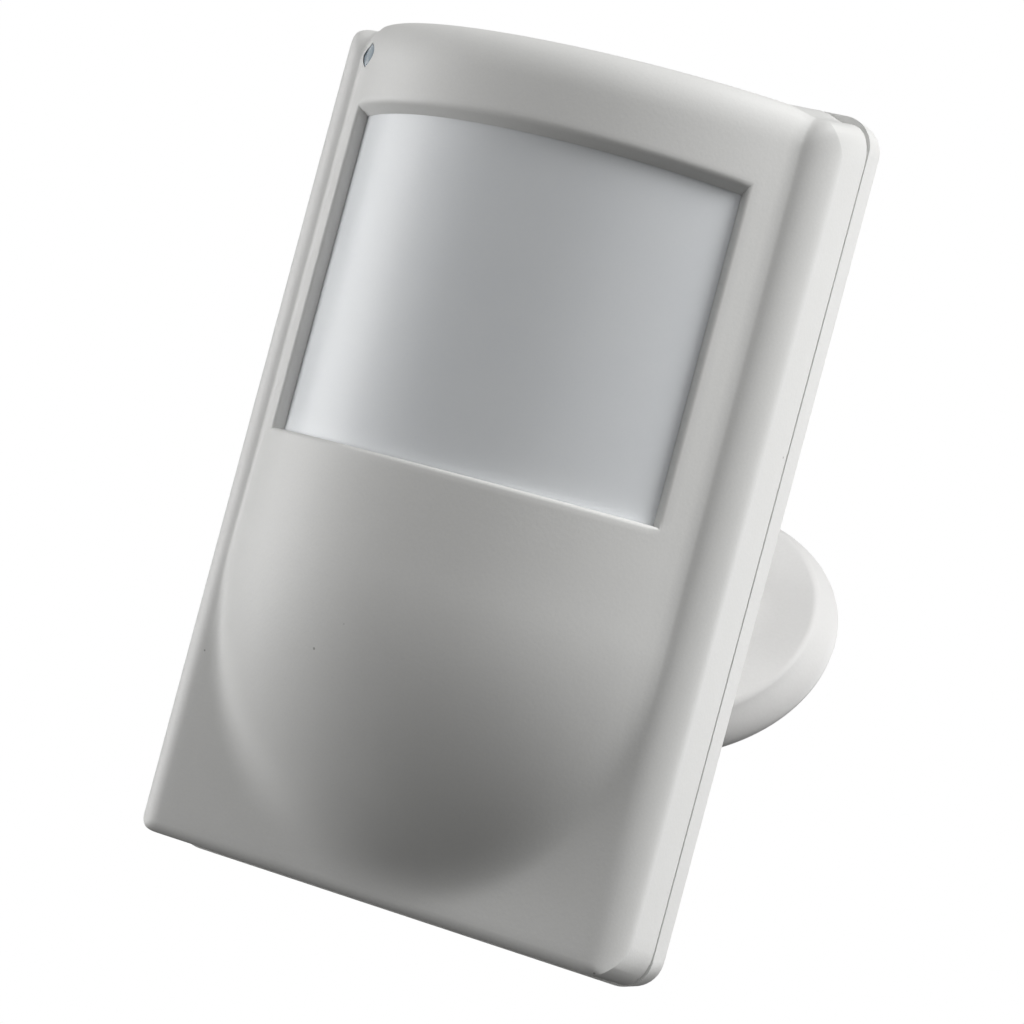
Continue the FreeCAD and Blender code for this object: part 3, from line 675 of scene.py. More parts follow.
@dataclass(frozen=True)
class CanSleeve(Finish):
    """Electrolytic capacitors: dark sleeve with a pale stripe, and a vented aluminium top."""

    centres: tuple[tuple[float, float, float, float], ...]

    def mix(self) -> bpy.types.Material:
        """Stripe and vent cross worked out round each can's own centre."""
        recipe = Recipe("can_sleeve", PLACE.inverted())
        x, y, z = recipe.axes()
        grain = recipe.noise(0.5 * MM, 2.0)
        top, stripe, cross = None, None, None
        for cx, cz, radius, front in self.centres:
            near = (abs(x - cx) < radius * 1.1) * (abs(z - cz) < radius * 1.1)
            lid = near * (y < -(front - 0.15 * MM))
            mark = near * (x < cx - radius * 0.72)
            arms = (abs(x - cx) < 0.12 * MM).greater(abs(z - cz) < 0.12 * MM) * lid
            top = lid if top is None else top.greater(lid)
            stripe = mark if stripe is None else stripe.greater(mark)
            cross = arms if cross is None else cross.greater(arms)
        colour = recipe.blend(stripe, (0.02, 0.025, 0.05), (0.55, 0.57, 0.58))
        colour = recipe.blend(top, colour, (0.72, 0.72, 0.73))
        roughness = 0.32 + grain * 0.12
        return recipe.done(Base_Color=colour, Metallic=top, Roughness=roughness,
                           Normal=recipe.bump(grain * 0.1 - cross, 0.12 * MM))


@dataclass(frozen=True)
class SmallParts(Finish):
    """Chip resistors and capacitors: dark or tan bodies with tinned ends."""

    def mix(self) -> bpy.types.Material:
        """Tinned ends along x in the left column, and along z in the lower row."""
        recipe = Recipe("small_parts", PLACE.inverted())
        x, _, z = recipe.axes()
        grain = recipe.noise(0.3 * MM, 2.0)
        left = x < -18 * MM
        end_x = abs(x + 23 * MM) > 0.62 * MM
        end_z = abs(z - 5 * MM) > 0.62 * MM
        ends = left * end_x + (1 - left) * end_z
        body = recipe.blend(left, (0.33, 0.22, 0.12), (0.035, 0.035, 0.04))
        colour = recipe.blend(ends, body, (0.68, 0.68, 0.66))
        return recipe.done(Base_Color=colour, Metallic=ends, Roughness=0.35 + grain * 0.15,
                           Normal=recipe.bump(grain, 0.02 * MM))


@dataclass(frozen=True)
class DarkGlass(Finish):
    """Infrared filter of the heat sensor."""

    def mix(self) -> bpy.types.Material:
        """Nearly black, mirror smooth, with a faint violet coating."""
        recipe = Recipe("infrared_filter")
        cloud = recipe.noise(1.2 * MM, 1.0)
        colour = recipe.blend(cloud, (0.012, 0.010, 0.016), (0.03, 0.02, 0.045))
        return recipe.done(Base_Color=colour, Roughness=0.06 + cloud * 0.04, IOR=2.2)


# ------------------------------------------------------------------ finishes of this object

FRONT_WHITE = MouldedPlastic("front_housing_white", (0.80, 0.80, 0.785))
REAR_WHITE = MouldedPlastic("rear_housing_white", (0.82, 0.82, 0.805), relief=0.016 * MM)
BRACKET_WHITE = MouldedPlastic("bracket_white", (0.81, 0.805, 0.795), grain=0.4 * MM, specks=0.4)
FRAME_WHITE = MouldedPlastic("lens_frame_white", (0.74, 0.75, 0.74), specks=0.0)
SWITCH_BLACK = MouldedPlastic("switch_black", (0.03, 0.03, 0.032), relief=0.02 * MM, specks=0.0)
BUTTON_GREY = MouldedPlastic("button_grey", (0.35, 0.36, 0.37), relief=0.02 * MM, specks=0.0)
AERIAL_SLEEVE = MouldedPlastic("aerial_sleeve", (0.62, 0.60, 0.55), roughness=0.35, specks=0.0)
LED_RESIN = MouldedPlastic("led_resin", (0.75, 0.72, 0.62), roughness=0.25, specks=0.0)
CRADLE_BLACK = MouldedPlastic("cradle_black", (0.035, 0.036, 0.04), relief=0.02 * MM, specks=0.0)
ZINC_STEEL = BareMetal("zinc_steel", (0.62, 0.63, 0.65), 0.32)
NICKEL_PLATE = BareMetal("nickel_plate", (0.70, 0.67, 0.60), 0.24)
TIN_PLATE = BareMetal("tin_plate", (0.66, 0.66, 0.67), 0.38, 0.8 * MM)


# ------------------------------------------------------------------ front cover

@dataclass
class FrontCover:
    """The moulded front: flat rim, rounded bulge, lens opening and indicator window."""

    half_width: float = 34.05 * MM
    half_height: float = 52.4 * MM
    bottom_half: float = 52.9 * MM
    back_half_height: float = 54.3 * MM
    corner: float = 4.0 * MM
    parting: float = 4.85 * MM
    rim: float = 16.6 * MM
    side_reach: float = 4.0 * MM
    side_drop: float = 4.4 * MM
    top_reach: float = 5.0 * MM
    top_drop: float = 3.2 * MM
    bottom_round: float = 1.8 * MM
    wall: float = 2.0 * MM
    bulge_half: float = 29.8 * MM
    bulge_rise: float = 16.0 * MM
    bulge_flat_end: float = -13.0 * MM
    bulge_foot: float = -49.4 * MM
    side_fillet: float = 0.9 * MM
    foot_fillet: float = 2.8 * MM
    bulge_draft: float = 0.012
    open_half: float = 26.8 * MM
    open_top: float = 41.5 * MM
    open_bottom: float = 0.2 * MM
    arch: float = 0.6 * MM
    lens_half: float = 25.6 * MM
    lens_radius: float = 33.5 * MM
    lens_axis: float = -2.3 * MM
    lens_top: float = 40.4 * MM
    seat_gap: float = 0.1 * MM
    seat_lap: float = 1.75 * MM
    edge_soft: float = 0.5 * MM
    led_x: float = -28.0 * MM
    led_z: float = 48.0 * MM
    led_half: Vector = field(default_factory=lambda: Vector((1.9, 1.65)) * MM)
    led_fit: float = 0.9
    led_sink: float = 0.08 * MM
    cutter_back: float = 12 * MM
    cutter_length: float = 16 * MM
    window_thick: float = 2.6 * MM
    guide_radius: float = 1.5 * MM
    guide_back: float = 10.3 * MM
    guide_front: float = 15.4 * MM
    post_x: float = 22.5 * MM
    post_z: float = -4.2 * MM
    post_radius: float = 1.5 * MM
    post_back: float = 14.1 * MM
    post_front: float = 22.6 * MM
    loop_half: float = 28.8 * MM
    loop_low: float = -2.5 * MM
    loop_high: float = 44.8 * MM
    columns: list[float] = field(default_factory=list)
    rows: list[float] = field(default_factory=list)

    def __post_init__(self) -> None:
        """Works out the grid's lines, closer together where the surface turns."""
        flat = self.half_width - self.side_reach
        right = spaced([(0.0, 0), (self.open_half, 32), (flat, 3)])
        right += turned(flat, self.side_reach, 16)
        self.columns = [-x for x in reversed(right[1:])] + right
        top = self.half_height - self.top_reach
        bottom = self.bottom_half - self.bottom_round
        low = [-z for z in reversed(turned(bottom, self.bottom_round, 6))]
        middle = spaced([(-bottom, 0), (self.open_bottom, 44), (self.open_top, 40), (top, 6)])
        self.rows = low + middle + turned(top, self.top_reach, 10)

    def bulge(self, x: float, z: float) -> float:
        """Depth of the bulge at a point, or 0 where there is none."""
        radius = (self.bulge_half ** 2 + self.bulge_rise ** 2) / (2 * self.bulge_rise)
        crown = self.rim + self.bulge_rise
        if abs(x) >= radius:
            return 0.0
        across = crown - radius + math.sqrt(radius ** 2 - x ** 2)
        if z >= self.bulge_flat_end:
            return across
        reach = self.bulge_flat_end - self.bulge_foot
        sweep = (self.bulge_rise ** 2 + reach ** 2) / (2 * self.bulge_rise)
        centre = crown - sweep
        below = self.bulge_flat_end - z
        out = (across - centre) ** 2 - below ** 2
        return centre + math.sqrt(out) if out > 0 else 0.0

    def front_half(self, z: float) -> float:
        """Half height of the front, above or below its middle."""
        return self.half_height if z > 0 else self.bottom_half

    def drops(self, x: float, z: float) -> tuple[float, float]:
        """How far the side round and the end round take the surface back."""
        reach, drop = self.top_reach, self.top_drop
        if z < 0:
            reach = drop = self.bottom_round
        u = max(abs(x) - (self.half_width - self.side_reach), 0.0) / self.side_reach
        v = max(abs(z) - (self.front_half(z) - reach), 0.0) / reach
        side = self.side_drop * (1 - math.sqrt(max(1 - u * u, 0.0)))
        end = drop * (1 - math.sqrt(max(1 - v * v, 0.0)))
        return side, end

    def depth(self, x: float, z: float) -> float:
        """Depth of the cover's outer face."""
        side, end = self.drops(x, z)
        flat = self.rim - math.hypot(side, end)
        low = soft_step(-z, -self.bulge_flat_end - 10 * MM, -self.bulge_foot - 6 * MM)
        fillet = self.side_fillet + (self.foot_fillet - self.side_fillet) * low
        return soft_greater(flat, self.bulge(x, z) - end, fillet)

    def corner_point(self, x: float, z: float) -> tuple[float, float]:
        """Moves a point of the square grid's corner onto the rounded corner."""
        a = (abs(x) - (self.half_width - self.corner)) / self.corner
        b = (abs(z) - (self.front_half(z) - self.corner)) / self.corner
        if a <= 0 or b <= 0:
            return x, z
        round_a = a * math.sqrt(1 - b * b / 2)
        round_b = b * math.sqrt(1 - a * a / 2)
        new_x = self.half_width - self.corner + self.corner * round_a
        new_z = self.front_half(z) - self.corner + self.corner * round_b
        return math.copysign(new_x, x), math.copysign(new_z, z)

    def drafted(self, z: float, nominal: float, depth: float) -> float:
        """Moves a height outwards or inwards with the draft of the two end walls."""
        slope = (self.back_half_height - self.front_half(nominal)) / (self.rim - self.parting)
        if depth > self.rim:
            slope = self.bulge_draft
        share = soft_step(abs(nominal), self.open_top + 0.5 * MM, self.half_height - self.corner)
        return z - math.copysign(slope * (depth - self.rim) * share, z)

    def arched(self, x: float, z: float) -> float:
        """Lifts the opening's upper edge in a shallow arch, and eases it out above."""
        if z < self.open_top - 6 * MM or z > self.half_height - self.top_reach:
            return z
        near = 1 - (x / self.open_half) ** 2
        above = soft_step(z, self.open_top, self.half_height - self.top_reach)
        below = soft_step(z, self.open_top - 6 * MM, self.open_top)
        return z + self.arch * max(near, 0.0) * (below - above)

    def outer(self, x: float, z: float) -> Vector:
        """Point of the outer face for a point of the flat grid."""
        px, pz = self.corner_point(x, self.arched(x, z))
        depth = self.depth(px, pz)
        return Vector((px, -depth, self.drafted(pz, z, depth)))

    def inner(self, x: float, z: float) -> Vector:
        """Point of the inner face, behind the wall's thickness."""
        point = self.outer(x, z)
        shrink_x = (self.half_width - self.wall) / self.half_width
        shrink_z = (self.half_height - self.wall) / self.half_height
        return Vector((point.x * shrink_x, point.y + self.wall, point.z * shrink_z))

    def lens_depth(self, x: float) -> float:
        """Depth of the lens sheet's face."""
        return self.lens_axis + math.sqrt(self.lens_radius ** 2 - x * x)

    def base_grid(self, name: str, place: Callable[[float, float], Vector]) -> Workpiece:
        """A grid whose lines lie at the columns and rows, moved onto a face.

        Args:
            name: The piece's name.
            place: Gives a face's point for a point of the flat grid.

        Returns:
            The grid with the lens opening taken out.
        """
        bpy.ops.object.select_all(action="DESELECT")
        bpy.ops.mesh.primitive_grid_add(
            x_subdivisions=len(self.columns) - 1, y_subdivisions=len(self.rows) - 1,
            size=2.0, rotation=(math.pi / 2, 0, 0))
        piece = Workpiece(name)
        with piece.editing("FACE") as mesh:
            for vert in mesh.verts:
                column = round((vert.co.x + 1) / 2 * (len(self.columns) - 1))
                row = round((vert.co.z + 1) / 2 * (len(self.rows) - 1))
                vert.co = (self.columns[column], 0.0, self.rows[row])
            for face in mesh.faces:
                centre = face.calc_center_median()
                inside = abs(centre.x) < self.open_half and self.open_bottom < centre.z < self.open_top
                face.select_set(inside)
            bmesh.update_edit_mesh(piece.mesh)
            bpy.ops.mesh.delete(type="FACE")
            for vert in bmesh.from_edit_mesh(piece.mesh).verts:
                vert.co = place(vert.co.x, vert.co.z)
            bmesh.update_edit_mesh(piece.mesh)
        return piece

    def pull_edges(self, piece: Workpiece, at_opening: bool,
                   move: Callable[[Vector], Vector]) -> None:
        """Extrudes one open edge loop and places the new points.

        Args:
            piece: The sheet.
            at_opening: Takes the lens opening's loop, or else the outer border's.
            move: Gives a new point's place for its old one.
        """
        with piece.editing("EDGE") as mesh:
            limit = self.open_top + 1.6 * MM
            for edge in mesh.edges:
                middle = (edge.verts[0].co + edge.verts[1].co) / 2
                inside = abs(middle.x) < self.open_half + 0.6 * MM and -2 * MM < middle.z < limit + 1 * MM
                edge.select_set(edge.is_boundary and inside == at_opening)
            bmesh.update_edit_mesh(piece.mesh)
            bpy.ops.mesh.extrude_edges_move(TRANSFORM_OT_translate={"value": (0, 0, 0)})
            for vert in bmesh.from_edit_mesh(piece.mesh).verts:
                if vert.select:
                    vert.co = move(vert.co.copy())
            bmesh.update_edit_mesh(piece.mesh)

    def skirt_point(self, point: Vector, depth: float, inset: float) -> Vector:
        """A border point carried back along the drafted wall."""
        slope = (self.back_half_height - self.front_half(point.z)) / (self.rim - self.parting)
        share = soft_step(abs(point.z), self.open_top + 0.5 * MM, self.half_height - self.corner)
        drafted = max(min(-point.y, self.rim) - depth, 0.0)
        straight = max(-point.y - self.rim, 0.0)
        grow = (slope * drafted + self.bulge_draft * straight) * share
        z = point.z + math.copysign(grow, point.z)
        shrink = 1 - inset / self.half_width
        return Vector((point.x * shrink, -depth, z * (1 - inset / self.back_half_height)))

    def mouth_point(self, point: Vector) -> Vector:
        """A point of the opening's rim carried down the bevel to the lens."""
        x = max(-self.lens_half, min(self.lens_half, point.x * self.lens_half / self.open_half))
        low = point.z < (self.open_bottom + self.open_top) / 2
        share = (point.z - self.open_bottom) / (self.open_top - self.open_bottom)
        z = point.z if low else point.z - (self.open_top - self.lens_top) * max(share, 0.0) ** 6
        return Vector((x, -(self.lens_depth(x) + self.seat_gap / 2), z))

    def seat_point(self, point: Vector) -> Vector:
        """A point of the bevel's foot carried sideways over the lens sheet's lap."""
        grow = (self.lens_half + self.seat_lap) / self.lens_half
        middle = (self.open_bottom + self.lens_top) / 2
        half = (self.lens_top - self.open_bottom) / 2
        z = middle + (point.z - middle) * (half + self.seat_lap + 0.5 * MM) / half
        x = point.x * grow
        return Vector((x, -(self.lens_depth(x) + self.seat_gap), z))

    def build(self) -> None:
        """Models the shell: outer face, bevelled mouth, lens seat, skirt and inner face."""
        shell = self.base_grid("front_cover_shell", self.outer)
        self.pull_edges(shell, True, self.mouth_point)
        self.pull_edges(shell, True, self.seat_point)
        self.pull_edges(shell, True, lambda p: p + Vector((0, 1.4 * MM, 0)))
        lip = 0.22 * MM
        self.pull_edges(shell, False, lambda p: self.skirt_point(p, min(self.rim, -p.y), 0.0))
        self.pull_edges(shell, False, lambda p: self.skirt_point(p, self.parting + lip, 0.0))
        self.pull_edges(shell, False, lambda p: self.skirt_point(p, self.parting, lip))
        self.soften_mouth(shell)
        inner = self.base_grid("front_cover_inside", self.inner)
        self.pull_edges(inner, False, lambda p: self.skirt_point(p, self.parting, 0.0))
        with inner.editing("FACE"):
            bpy.ops.mesh.select_all(action="SELECT")
            bpy.ops.mesh.flip_normals()
        shell.join([inner])
        self.bridge(shell)
        shell.outward()
        shell.cut(self.diamond_cutter())
        self.add_inside_details(shell)
        shell.face(PLACE).smooth(35)
        shell.hand_over(FRONT_WHITE, "front_cover", Slot.FRONT, ["front_cover"])

    def soften_mouth(self, shell: Workpiece) -> None:
        """Rounds the edge between the outer face and the bevelled mouth."""
        with shell.editing("EDGE") as mesh:
            top = self.open_top
            for edge in mesh.edges:
                a, b = (vert.co for vert in edge.verts)
                faces = edge.link_faces
                if len(faces) != 2:
                    continue
                on_side = min(abs(a.x), abs(b.x)) > self.open_half - 0.01 * MM
                on_side = on_side and max(abs(a.x), abs(b.x)) < self.open_half + 0.01 * MM
                low = max(abs(a.z - self.open_bottom), abs(b.z - self.open_bottom)) < 0.01 * MM
                arch = [self.arched(v.x, top) for v in (a, b)]
                high = max(abs(a.z - arch[0]), abs(b.z - arch[1])) < 0.01 * MM
                wide = max(abs(a.x), abs(b.x)) < self.open_half + 0.01 * MM
                inside = self.open_bottom - 0.01 * MM < min(a.z, b.z) and max(a.z, b.z) < top + self.arch
                depths = [-v.y - self.depth(v.x, v.z) for v in (a, b)]
                on_face = max(abs(d) for d in depths) < 0.2 * MM
                edge.select_set(on_face and ((on_side and inside) or ((low or high) and wide)))
            bmesh.update_edit_mesh(shell.mesh)
            bpy.ops.mesh.bevel(offset=self.edge_soft, segments=3, profile=0.5, affect="EDGES")

    def bridge(self, shell: Workpiece) -> None:
        """Joins the outer sheet's two open loops to the inner sheet's."""
        for at_opening in (True, False):
            with shell.editing("EDGE") as mesh:
                for edge in mesh.edges:
                    middle = (edge.verts[0].co + edge.verts[1].co) / 2
                    inside = abs(middle.x) < self.loop_half and self.loop_low < middle.z < self.loop_high
                    edge.select_set(edge.is_boundary and inside == at_opening)
                bmesh.update_edit_mesh(shell.mesh)
                bpy.ops.mesh.bridge_edge_loops()

    def leaf(self, name: str, scale: float) -> Workpiece:
        """A fine flat sheet in the leaf shape of the indicator's window.

        Args:
            name: The piece's name.
            scale: Its size beside the opening's.

        Returns:
            The sheet, upright at depth 0.
        """
        bpy.ops.object.select_all(action="DESELECT")
        bpy.ops.mesh.primitive_grid_add(x_subdivisions=12, y_subdivisions=12, size=2.0,
                                        rotation=(math.pi / 2, 0, 0))
        sheet = Workpiece(name)
        with sheet.editing() as mesh:
            for vert in mesh.verts:
                across, up = (vert.co.x + vert.co.z) / 2, (vert.co.z - vert.co.x) / 2
                x = scale * self.led_half.x * across * (1 + abs(up))
                z = scale * self.led_half.y * up
                vert.co = (self.led_x + x, 0.0, self.led_z + z)
            bmesh.update_edit_mesh(sheet.mesh)
        return sheet

    def diamond_cutter(self) -> Workpiece:
        """A leaf-shaped bar for the indicator's window."""
        bar = self.leaf("diamond_cutter", 1.0)
        with bar.editing() as mesh:
            for vert in mesh.verts:
                vert.co.y = -self.cutter_back
            bmesh.update_edit_mesh(bar.mesh)
        bar.modify("SOLIDIFY", thickness=self.cutter_length, offset=1.0)
        bar.outward()
        return bar

    def build_window(self) -> None:
        """Models the indicator's window: a leaf that follows the bulge just below its face."""
        window = self.leaf("indicator_window", self.led_fit)
        with window.editing() as mesh:
            for vert in mesh.verts:
                vert.co.y = -(self.depth(vert.co.x, vert.co.z) - self.led_sink)
            bmesh.update_edit_mesh(window.mesh)
        window.modify("SOLIDIFY", thickness=self.window_thick, offset=-1.0)
        window.outward()
        guide = cylinder("guide", self.guide_radius,
                         Vector((self.led_x, -self.guide_back, self.led_z)),
                         Vector((self.led_x, -self.guide_front, self.led_z)), 32)
        guide.modify("BEVEL", width=0.2 * MM, segments=2)
        window.join([guide])
        window.face(PLACE).smooth(30)
        window.hand_over(TintedWindow(), "front_cover", Slot.WINDOW, ["led_window"])

    def add_inside_details(self, shell: Workpiece) -> None:
        """Adds the post that holds the tamper plunger down."""
        x, z = self.post_x, self.post_z
        post = cylinder("tamper_post", self.post_radius, Vector((x, -self.post_back, z)),
                        Vector((x, -self.post_front, z)), 32)
        post.modify("BEVEL", width=0.25 * MM, segments=2)
        shell.join([post])


# ------------------------------------------------------------------ lens

@dataclass
class Lens:
    """Curved lens sheet: smooth outside, with fields of ring grooves inside."""

    radius: float = 33.5 * MM
    axis_depth: float = -2.3 * MM
    half: float = 27.2 * MM
    bottom: float = -1.4 * MM
    top: float = 43.0 * MM
    thickness: float = 0.7 * MM
    groove: float = 0.14 * MM
    pitch: float = 1.1 * MM
    fields: tuple[tuple[float, int], ...] = ((33.0, 7), (19.5, 5), (7.5, 3))
    field_lows: tuple[float, ...] = (26.5, 12.5, -1.4)

    def groove_depth(self, along: float, z: float) -> float:
        """Depth of the ring groove at a point of the unrolled sheet."""
        for (centre_z, count), low in zip(self.fields, self.field_lows):
            if z > low * MM:
                arc = 2 * self.radius * math.asin(self.half / self.radius)
                width = arc / count
                index = min(max(int((along + arc / 2) // width), 0), count - 1)
                centre = -arc / 2 + (index + 0.5) * width
                ring = math.hypot(along - centre, z - centre_z * MM) / self.pitch
                return self.groove * (ring % 1.0)
        return 0.0

    def build(self) -> None:
        """Bends a fine grid into the sheet, thickens it and presses in the grooves."""
        reach = math.asin(self.half / self.radius)
        bpy.ops.object.select_all(action="DESELECT")
        bpy.ops.mesh.primitive_grid_add(x_subdivisions=220, y_subdivisions=150, size=2.0,
                                        rotation=(math.pi / 2, 0, 0))
        sheet = Workpiece("lens_sheet")
        with sheet.editing() as mesh:
            for vert in mesh.verts:
                angle = vert.co.x * reach
                z = self.bottom + (vert.co.z + 1) / 2 * (self.top - self.bottom)
                x = self.radius * math.sin(angle)
                vert.co = (x, -(self.axis_depth + self.radius * math.cos(angle)), z)
            bmesh.update_edit_mesh(sheet.mesh)
        sheet.modify("SOLIDIFY", thickness=self.thickness, offset=-1.0)
        with sheet.editing() as mesh:
            mid = self.radius - self.thickness / 2
            for vert in mesh.verts:
                out = Vector((vert.co.x, -vert.co.y - self.axis_depth))
                if out.length < mid:
                    angle = math.atan2(out.x, out.y)
                    depth = self.groove_depth(angle * self.radius, vert.co.z)
                    out = out.normalized() * (out.length + depth)
                    vert.co.x, vert.co.y = out.x, -(out.y + self.axis_depth)
            bmesh.update_edit_mesh(sheet.mesh)
        sheet.outward()
        sheet.face(PLACE).smooth(30)
        sheet.hand_over(LensFilm(), "front_cover", Slot.LENS, ["fresnel_lens"])


# ------------------------------------------------------------------ bracket

@dataclass
class WallPlate:
    """Round wall plate, turned with a soft rim, with two countersunk holes."""

    wall_radius: float = 22.7 * MM
    wide_radius: float = 23.3 * MM
    wide_out: float = 1.0 * MM
    face_radius: float = 20.45 * MM
    face_out: float = 5.7 * MM
    rim_round: float = 1.3 * MM
    bore: float = 4.56 * MM
    recess_radius: float = 8.4 * MM
    recess_depth: float = 3.1 * MM
    hole_radius: float = 2.1 * MM
    hole_height: float = 15.5 * MM

    def profile(self) -> list[tuple[float, float]]:
        """The turned outline, from the bearing's bore round the rim to the wall."""
        points = [(self.bore, self.recess_depth), (self.bore, self.face_out - 0.2 * MM),
                  (self.bore + 0.2 * MM, self.face_out), (12 * MM, self.face_out)]
        start = self.face_radius - 0.4 * MM
        points.append((start, self.face_out))
        for k in range(1, 9):
            angle = math.radians(65 * k / 8)
            points.append((start + self.rim_round * math.sin(angle),
                           self.face_out - self.rim_round * (1 - math.cos(angle))))
        last = points[-1]
        for k in range(1, 9):
            share = k / 8
            r = last[0] + (self.wide_radius - last[0]) * math.sin(share * math.pi / 2)
            points.append((r, last[1] + (self.wide_out - last[1]) * share))
        points += [(self.wall_radius + 0.3 * MM, 0.25 * MM), (self.wall_radius, 0.0),
                   (self.recess_radius, 0.0), (self.recess_radius, self.recess_depth),
                   (self.bore, self.recess_depth)]
        return points

    def build(self) -> None:
        """Turns the plate and drills its wall holes."""
        plate = lathe("wall_plate_turned", self.profile(), 128)
        for side in (-1, 1):
            z = side * self.hole_height
            drill = lathe("drill", [(0.0, 7 * MM), (4.2 * MM, 7 * MM), (4.0 * MM, 5.75 * MM),
                                    (self.hole_radius, 4.2 * MM), (self.hole_radius, -1 * MM),
                                    (0.0, -1 * MM)], 48)
            drill.face(Matrix.Translation((0, 0, z)))
            plate.cut(drill)
        plate.outward().smooth(38)
        plate.hand_over(BRACKET_WHITE, "wall_plate", Slot.BRACKET, ["wall_plate"])


# ------------------------------------------------------------------ finishes on carried-over nodes

def chip_finish(name: str, centre_mm: float, half_mm: float) -> TwoPart:
    """Black chip resin with tinned legs outside its body."""
    return TwoPart(name, (0.022, 0.022, 0.024), (0.66, 0.66, 0.66),
                   centre=centre_mm * MM, half=half_mm * MM)


NODE_FINISHES: dict[str, Finish] = {
    "swivel_turret": BRACKET_WHITE,
    "swivel_arm": BRACKET_WHITE,
    "head_plate": BRACKET_WHITE,
    "rear_cover": REAR_WHITE,
    "lens_frame": FRAME_WHITE,
    "circuit_board": BoardLaminate(),
    "turret_washer": ZINC_STEEL,
    "turret_screw": ZINC_STEEL,
    "tilt_bolt": ZINC_STEEL,
    "tilt_nut": ZINC_STEEL,
    "head_washer": ZINC_STEEL,
    "head_screw": ZINC_STEEL,
    "head_plate_screws": ZINC_STEEL,
    "board_screws": ZINC_STEEL,
    "sensor_can": NICKEL_PLATE,
    "sensor_leads": TIN_PLATE,
    "contact_plate": NICKEL_PLATE,
    "contact_spring": NICKEL_PLATE,
    "radio_screen": TIN_PLATE,
    "sensor_filter": DarkGlass(),
    "sensor_holder": FRAME_WHITE,
    "battery": CellSleeve(),
    "battery_cradle": CRADLE_BLACK,
    "controller_chip": chip_finish("controller_chip_resin", -16, 2.05),
    "amplifier_chip": chip_finish("amplifier_chip_resin", 13, 1.95),
    "radio_module": TwoPart("radio_board", (0.015, 0.07, 0.16), (0.75, 0.62, 0.3),
                            centre=17 * MM, half=8.7 * MM, roughness=0.35),
    "capacitors": CanSleeve(((-21 * MM, 2 * MM, 3.1 * MM, 14.7 * MM),
                             (20 * MM, 5 * MM, 2.5 * MM, 13.7 * MM))),
    "surface_parts": SmallParts(),
    "antenna": AERIAL_SLEEVE,
    "jumper_pins": TwoPart("header_resin", (0.025, 0.025, 0.027), (0.78, 0.62, 0.28),
                           deeper_than=9.65 * MM),
    "jumper_cap": SWITCH_BLACK,
    "indicator_led": LED_RESIN,
    "learn_switch": TwoPart("push_switch_resin", (0.03, 0.03, 0.032), (0.66, 0.66, 0.66),
                            deeper_than=10.5 * MM),
    "learn_button": BUTTON_GREY,
    "tamper_switch": SWITCH_BLACK,
    "tamper_plunger": BUTTON_GREY,
}


def dress_nodes() -> None:
    """Gives each CAD node that stays its own finish."""
    for name, finish in NODE_FINISHES.items():
        node = frame["nodes"][name]
        for slot in node.material_slots:
            slot.material = finish.dress()
        LOG.info("%s is dressed", name)


# ------------------------------------------------------------------ studio

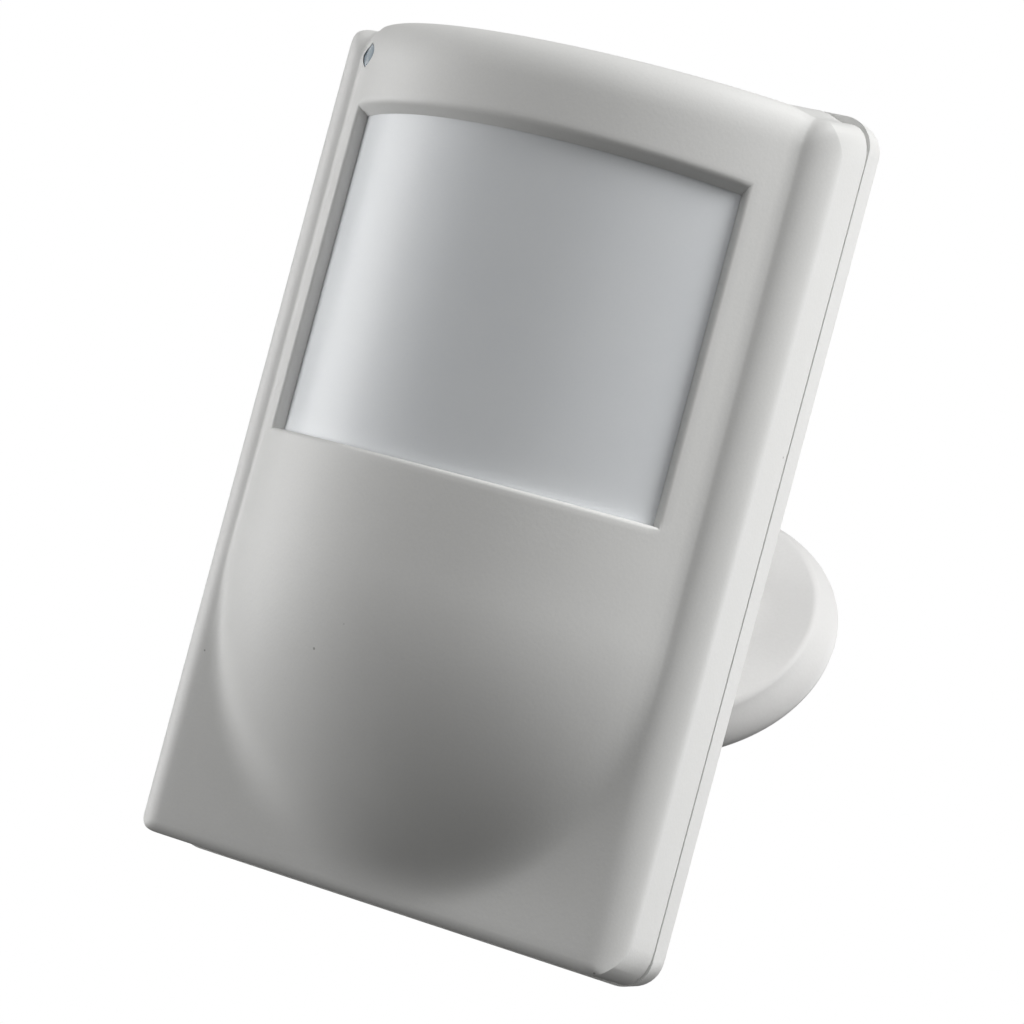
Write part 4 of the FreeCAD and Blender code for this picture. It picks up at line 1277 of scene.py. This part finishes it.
@dataclass
class Studio:
    """Camera, soft lights, white surround and a pale floor."""

    azimuth: float = math.radians(25.23)
    elevation: float = math.radians(-0.37)
    roll: float = math.radians(15.0)
    target: Vector = field(default_factory=lambda: Vector((2.136, -8.0, -2.312)) * MM)
    distance: float = 402.7 * MM
    focal: float = 114.76
    floor_height: float = -0.45
    ambient: float = 0.10
    lights: tuple[tuple[str, float, float, float, float, float], ...] = (
        ("left_light", -85.0, 0.0, 0.75, 0.45, 2.8),
        ("left_front_light", -60.0, 0.0, 0.75, 0.45, 1.3),
        ("front_light", 40.0, 0.0, 0.75, 0.45, 0.37),
        ("back_light", 150.0, 0.0, 0.75, 0.45, 2.0),
        ("upper_light", 30.0, 50.0, 0.75, 0.45, 0.98),
        ("upper_right_light", 90.0, 50.0, 0.75, 0.45, 4.65),
    )

    def view_matrix(self) -> Matrix:
        """The camera's place in the row frame."""
        sin_a, cos_a = math.sin(self.azimuth), math.cos(self.azimuth)
        sin_e, cos_e = math.sin(self.elevation), math.cos(self.elevation)
        back = Vector((sin_a * cos_e, -cos_a * cos_e, sin_e))
        right = Vector((cos_a, sin_a, 0.0))
        up = back.cross(right)
        sin_r, cos_r = math.sin(self.roll), math.cos(self.roll)
        turned_right = right * cos_r + up * sin_r
        turned_up = up * cos_r - right * sin_r
        turn = Matrix((turned_right, turned_up, back)).transposed().to_4x4()
        place = Matrix.Translation(self.target + back * self.distance)
        return PLACE @ place @ turn

    def build(self) -> None:
        """Sets up everything that isn't part of the object."""
        self.add_camera()
        for light in self.lights:
            self.add_light(*light)
        self.add_surround()
        self.add_floor()
        bpy.context.scene.view_settings.view_transform = "Standard"

    def add_camera(self) -> None:
        """The camera, rolled as the object hangs in its view."""
        data = bpy.data.cameras.new("studio_camera")
        data.lens = self.focal
        data.sensor_width = 36.0
        data.clip_start = 0.01
        camera = bpy.data.objects.new("studio_camera", data)
        camera.matrix_world = self.view_matrix()
        bpy.context.scene.collection.objects.link(camera)
        bpy.context.scene.camera = camera

    def add_light(self, name: str, azimuth: float, elevation: float, distance: float,
                  size: float, power: float) -> None:
        """One large soft light, placed round the upright detector.

        Args:
            name: The light's name.
            azimuth: Degrees from the detector's front towards its right.
            elevation: Degrees above its middle.
            distance: How far off it stands.
            size: The side of the light's square.
            power: Its power in watts.
        """
        a, e = math.radians(azimuth), math.radians(elevation)
        way = Vector((math.sin(a) * math.cos(e), -math.cos(a) * math.cos(e), math.sin(e)))
        data = bpy.data.lights.new(name, "AREA")
        data.shape = "SQUARE"
        data.size = size
        data.energy = power
        light = bpy.data.objects.new(name, data)
        aim = way.to_track_quat("Z", "Y").to_matrix().to_4x4()
        light.matrix_world = PLACE @ Matrix.Translation(way * distance) @ aim
        bpy.context.scene.collection.objects.link(light)

    def add_surround(self) -> None:
        """A white surround that lights the object less than it shows."""
        world = bpy.data.worlds.new("surround")
        bpy.context.scene.world = world
        world.use_nodes = True
        tree = world.node_tree
        tree.nodes.clear()
        path = tree.nodes.new("ShaderNodeLightPath")
        seen = tree.nodes.new("ShaderNodeBackground")
        seen.inputs["Color"].default_value = (1.0, 1.0, 1.0, 1.0)
        seen.inputs["Strength"].default_value = 1.0
        lit = tree.nodes.new("ShaderNodeBackground")
        lit.inputs["Color"].default_value = (1.0, 0.995, 0.985, 1.0)
        lit.inputs["Strength"].default_value = self.ambient
        mix = tree.nodes.new("ShaderNodeMixShader")
        output = tree.nodes.new("ShaderNodeOutputWorld")
        tree.links.new(path.outputs["Is Camera Ray"], mix.inputs[0])
        tree.links.new(lit.outputs[0], mix.inputs[1])
        tree.links.new(seen.outputs[0], mix.inputs[2])
        tree.links.new(mix.outputs[0], output.inputs["Surface"])

    def add_floor(self) -> None:
        """A plain pale floor well below the object."""
        bpy.ops.object.select_all(action="DESELECT")
        bpy.ops.mesh.primitive_plane_add(size=6.0, location=(0, 0, self.floor_height))
        floor = bpy.context.object
        floor.name = "studio_floor"
        recipe = Recipe("pale_floor")
        cloud = recipe.noise(0.2, 2.0)
        colour = recipe.blend(cloud, (0.78, 0.78, 0.775), (0.82, 0.82, 0.815))
        floor.data.materials.append(recipe.done(Base_Color=colour, Roughness=0.7,
                                                Emission_Color=colour, Emission_Strength=0.75))
        floor.visible_diffuse = False
        floor.visible_glossy = False


def main() -> None:
    """Builds the studio and every piece."""
    Studio().build()
    cover = FrontCover()
    cover.build()
    cover.build_window()
    Lens().build()
    WallPlate().build()
    dress_nodes()


if __name__ == "__main__":
    main()
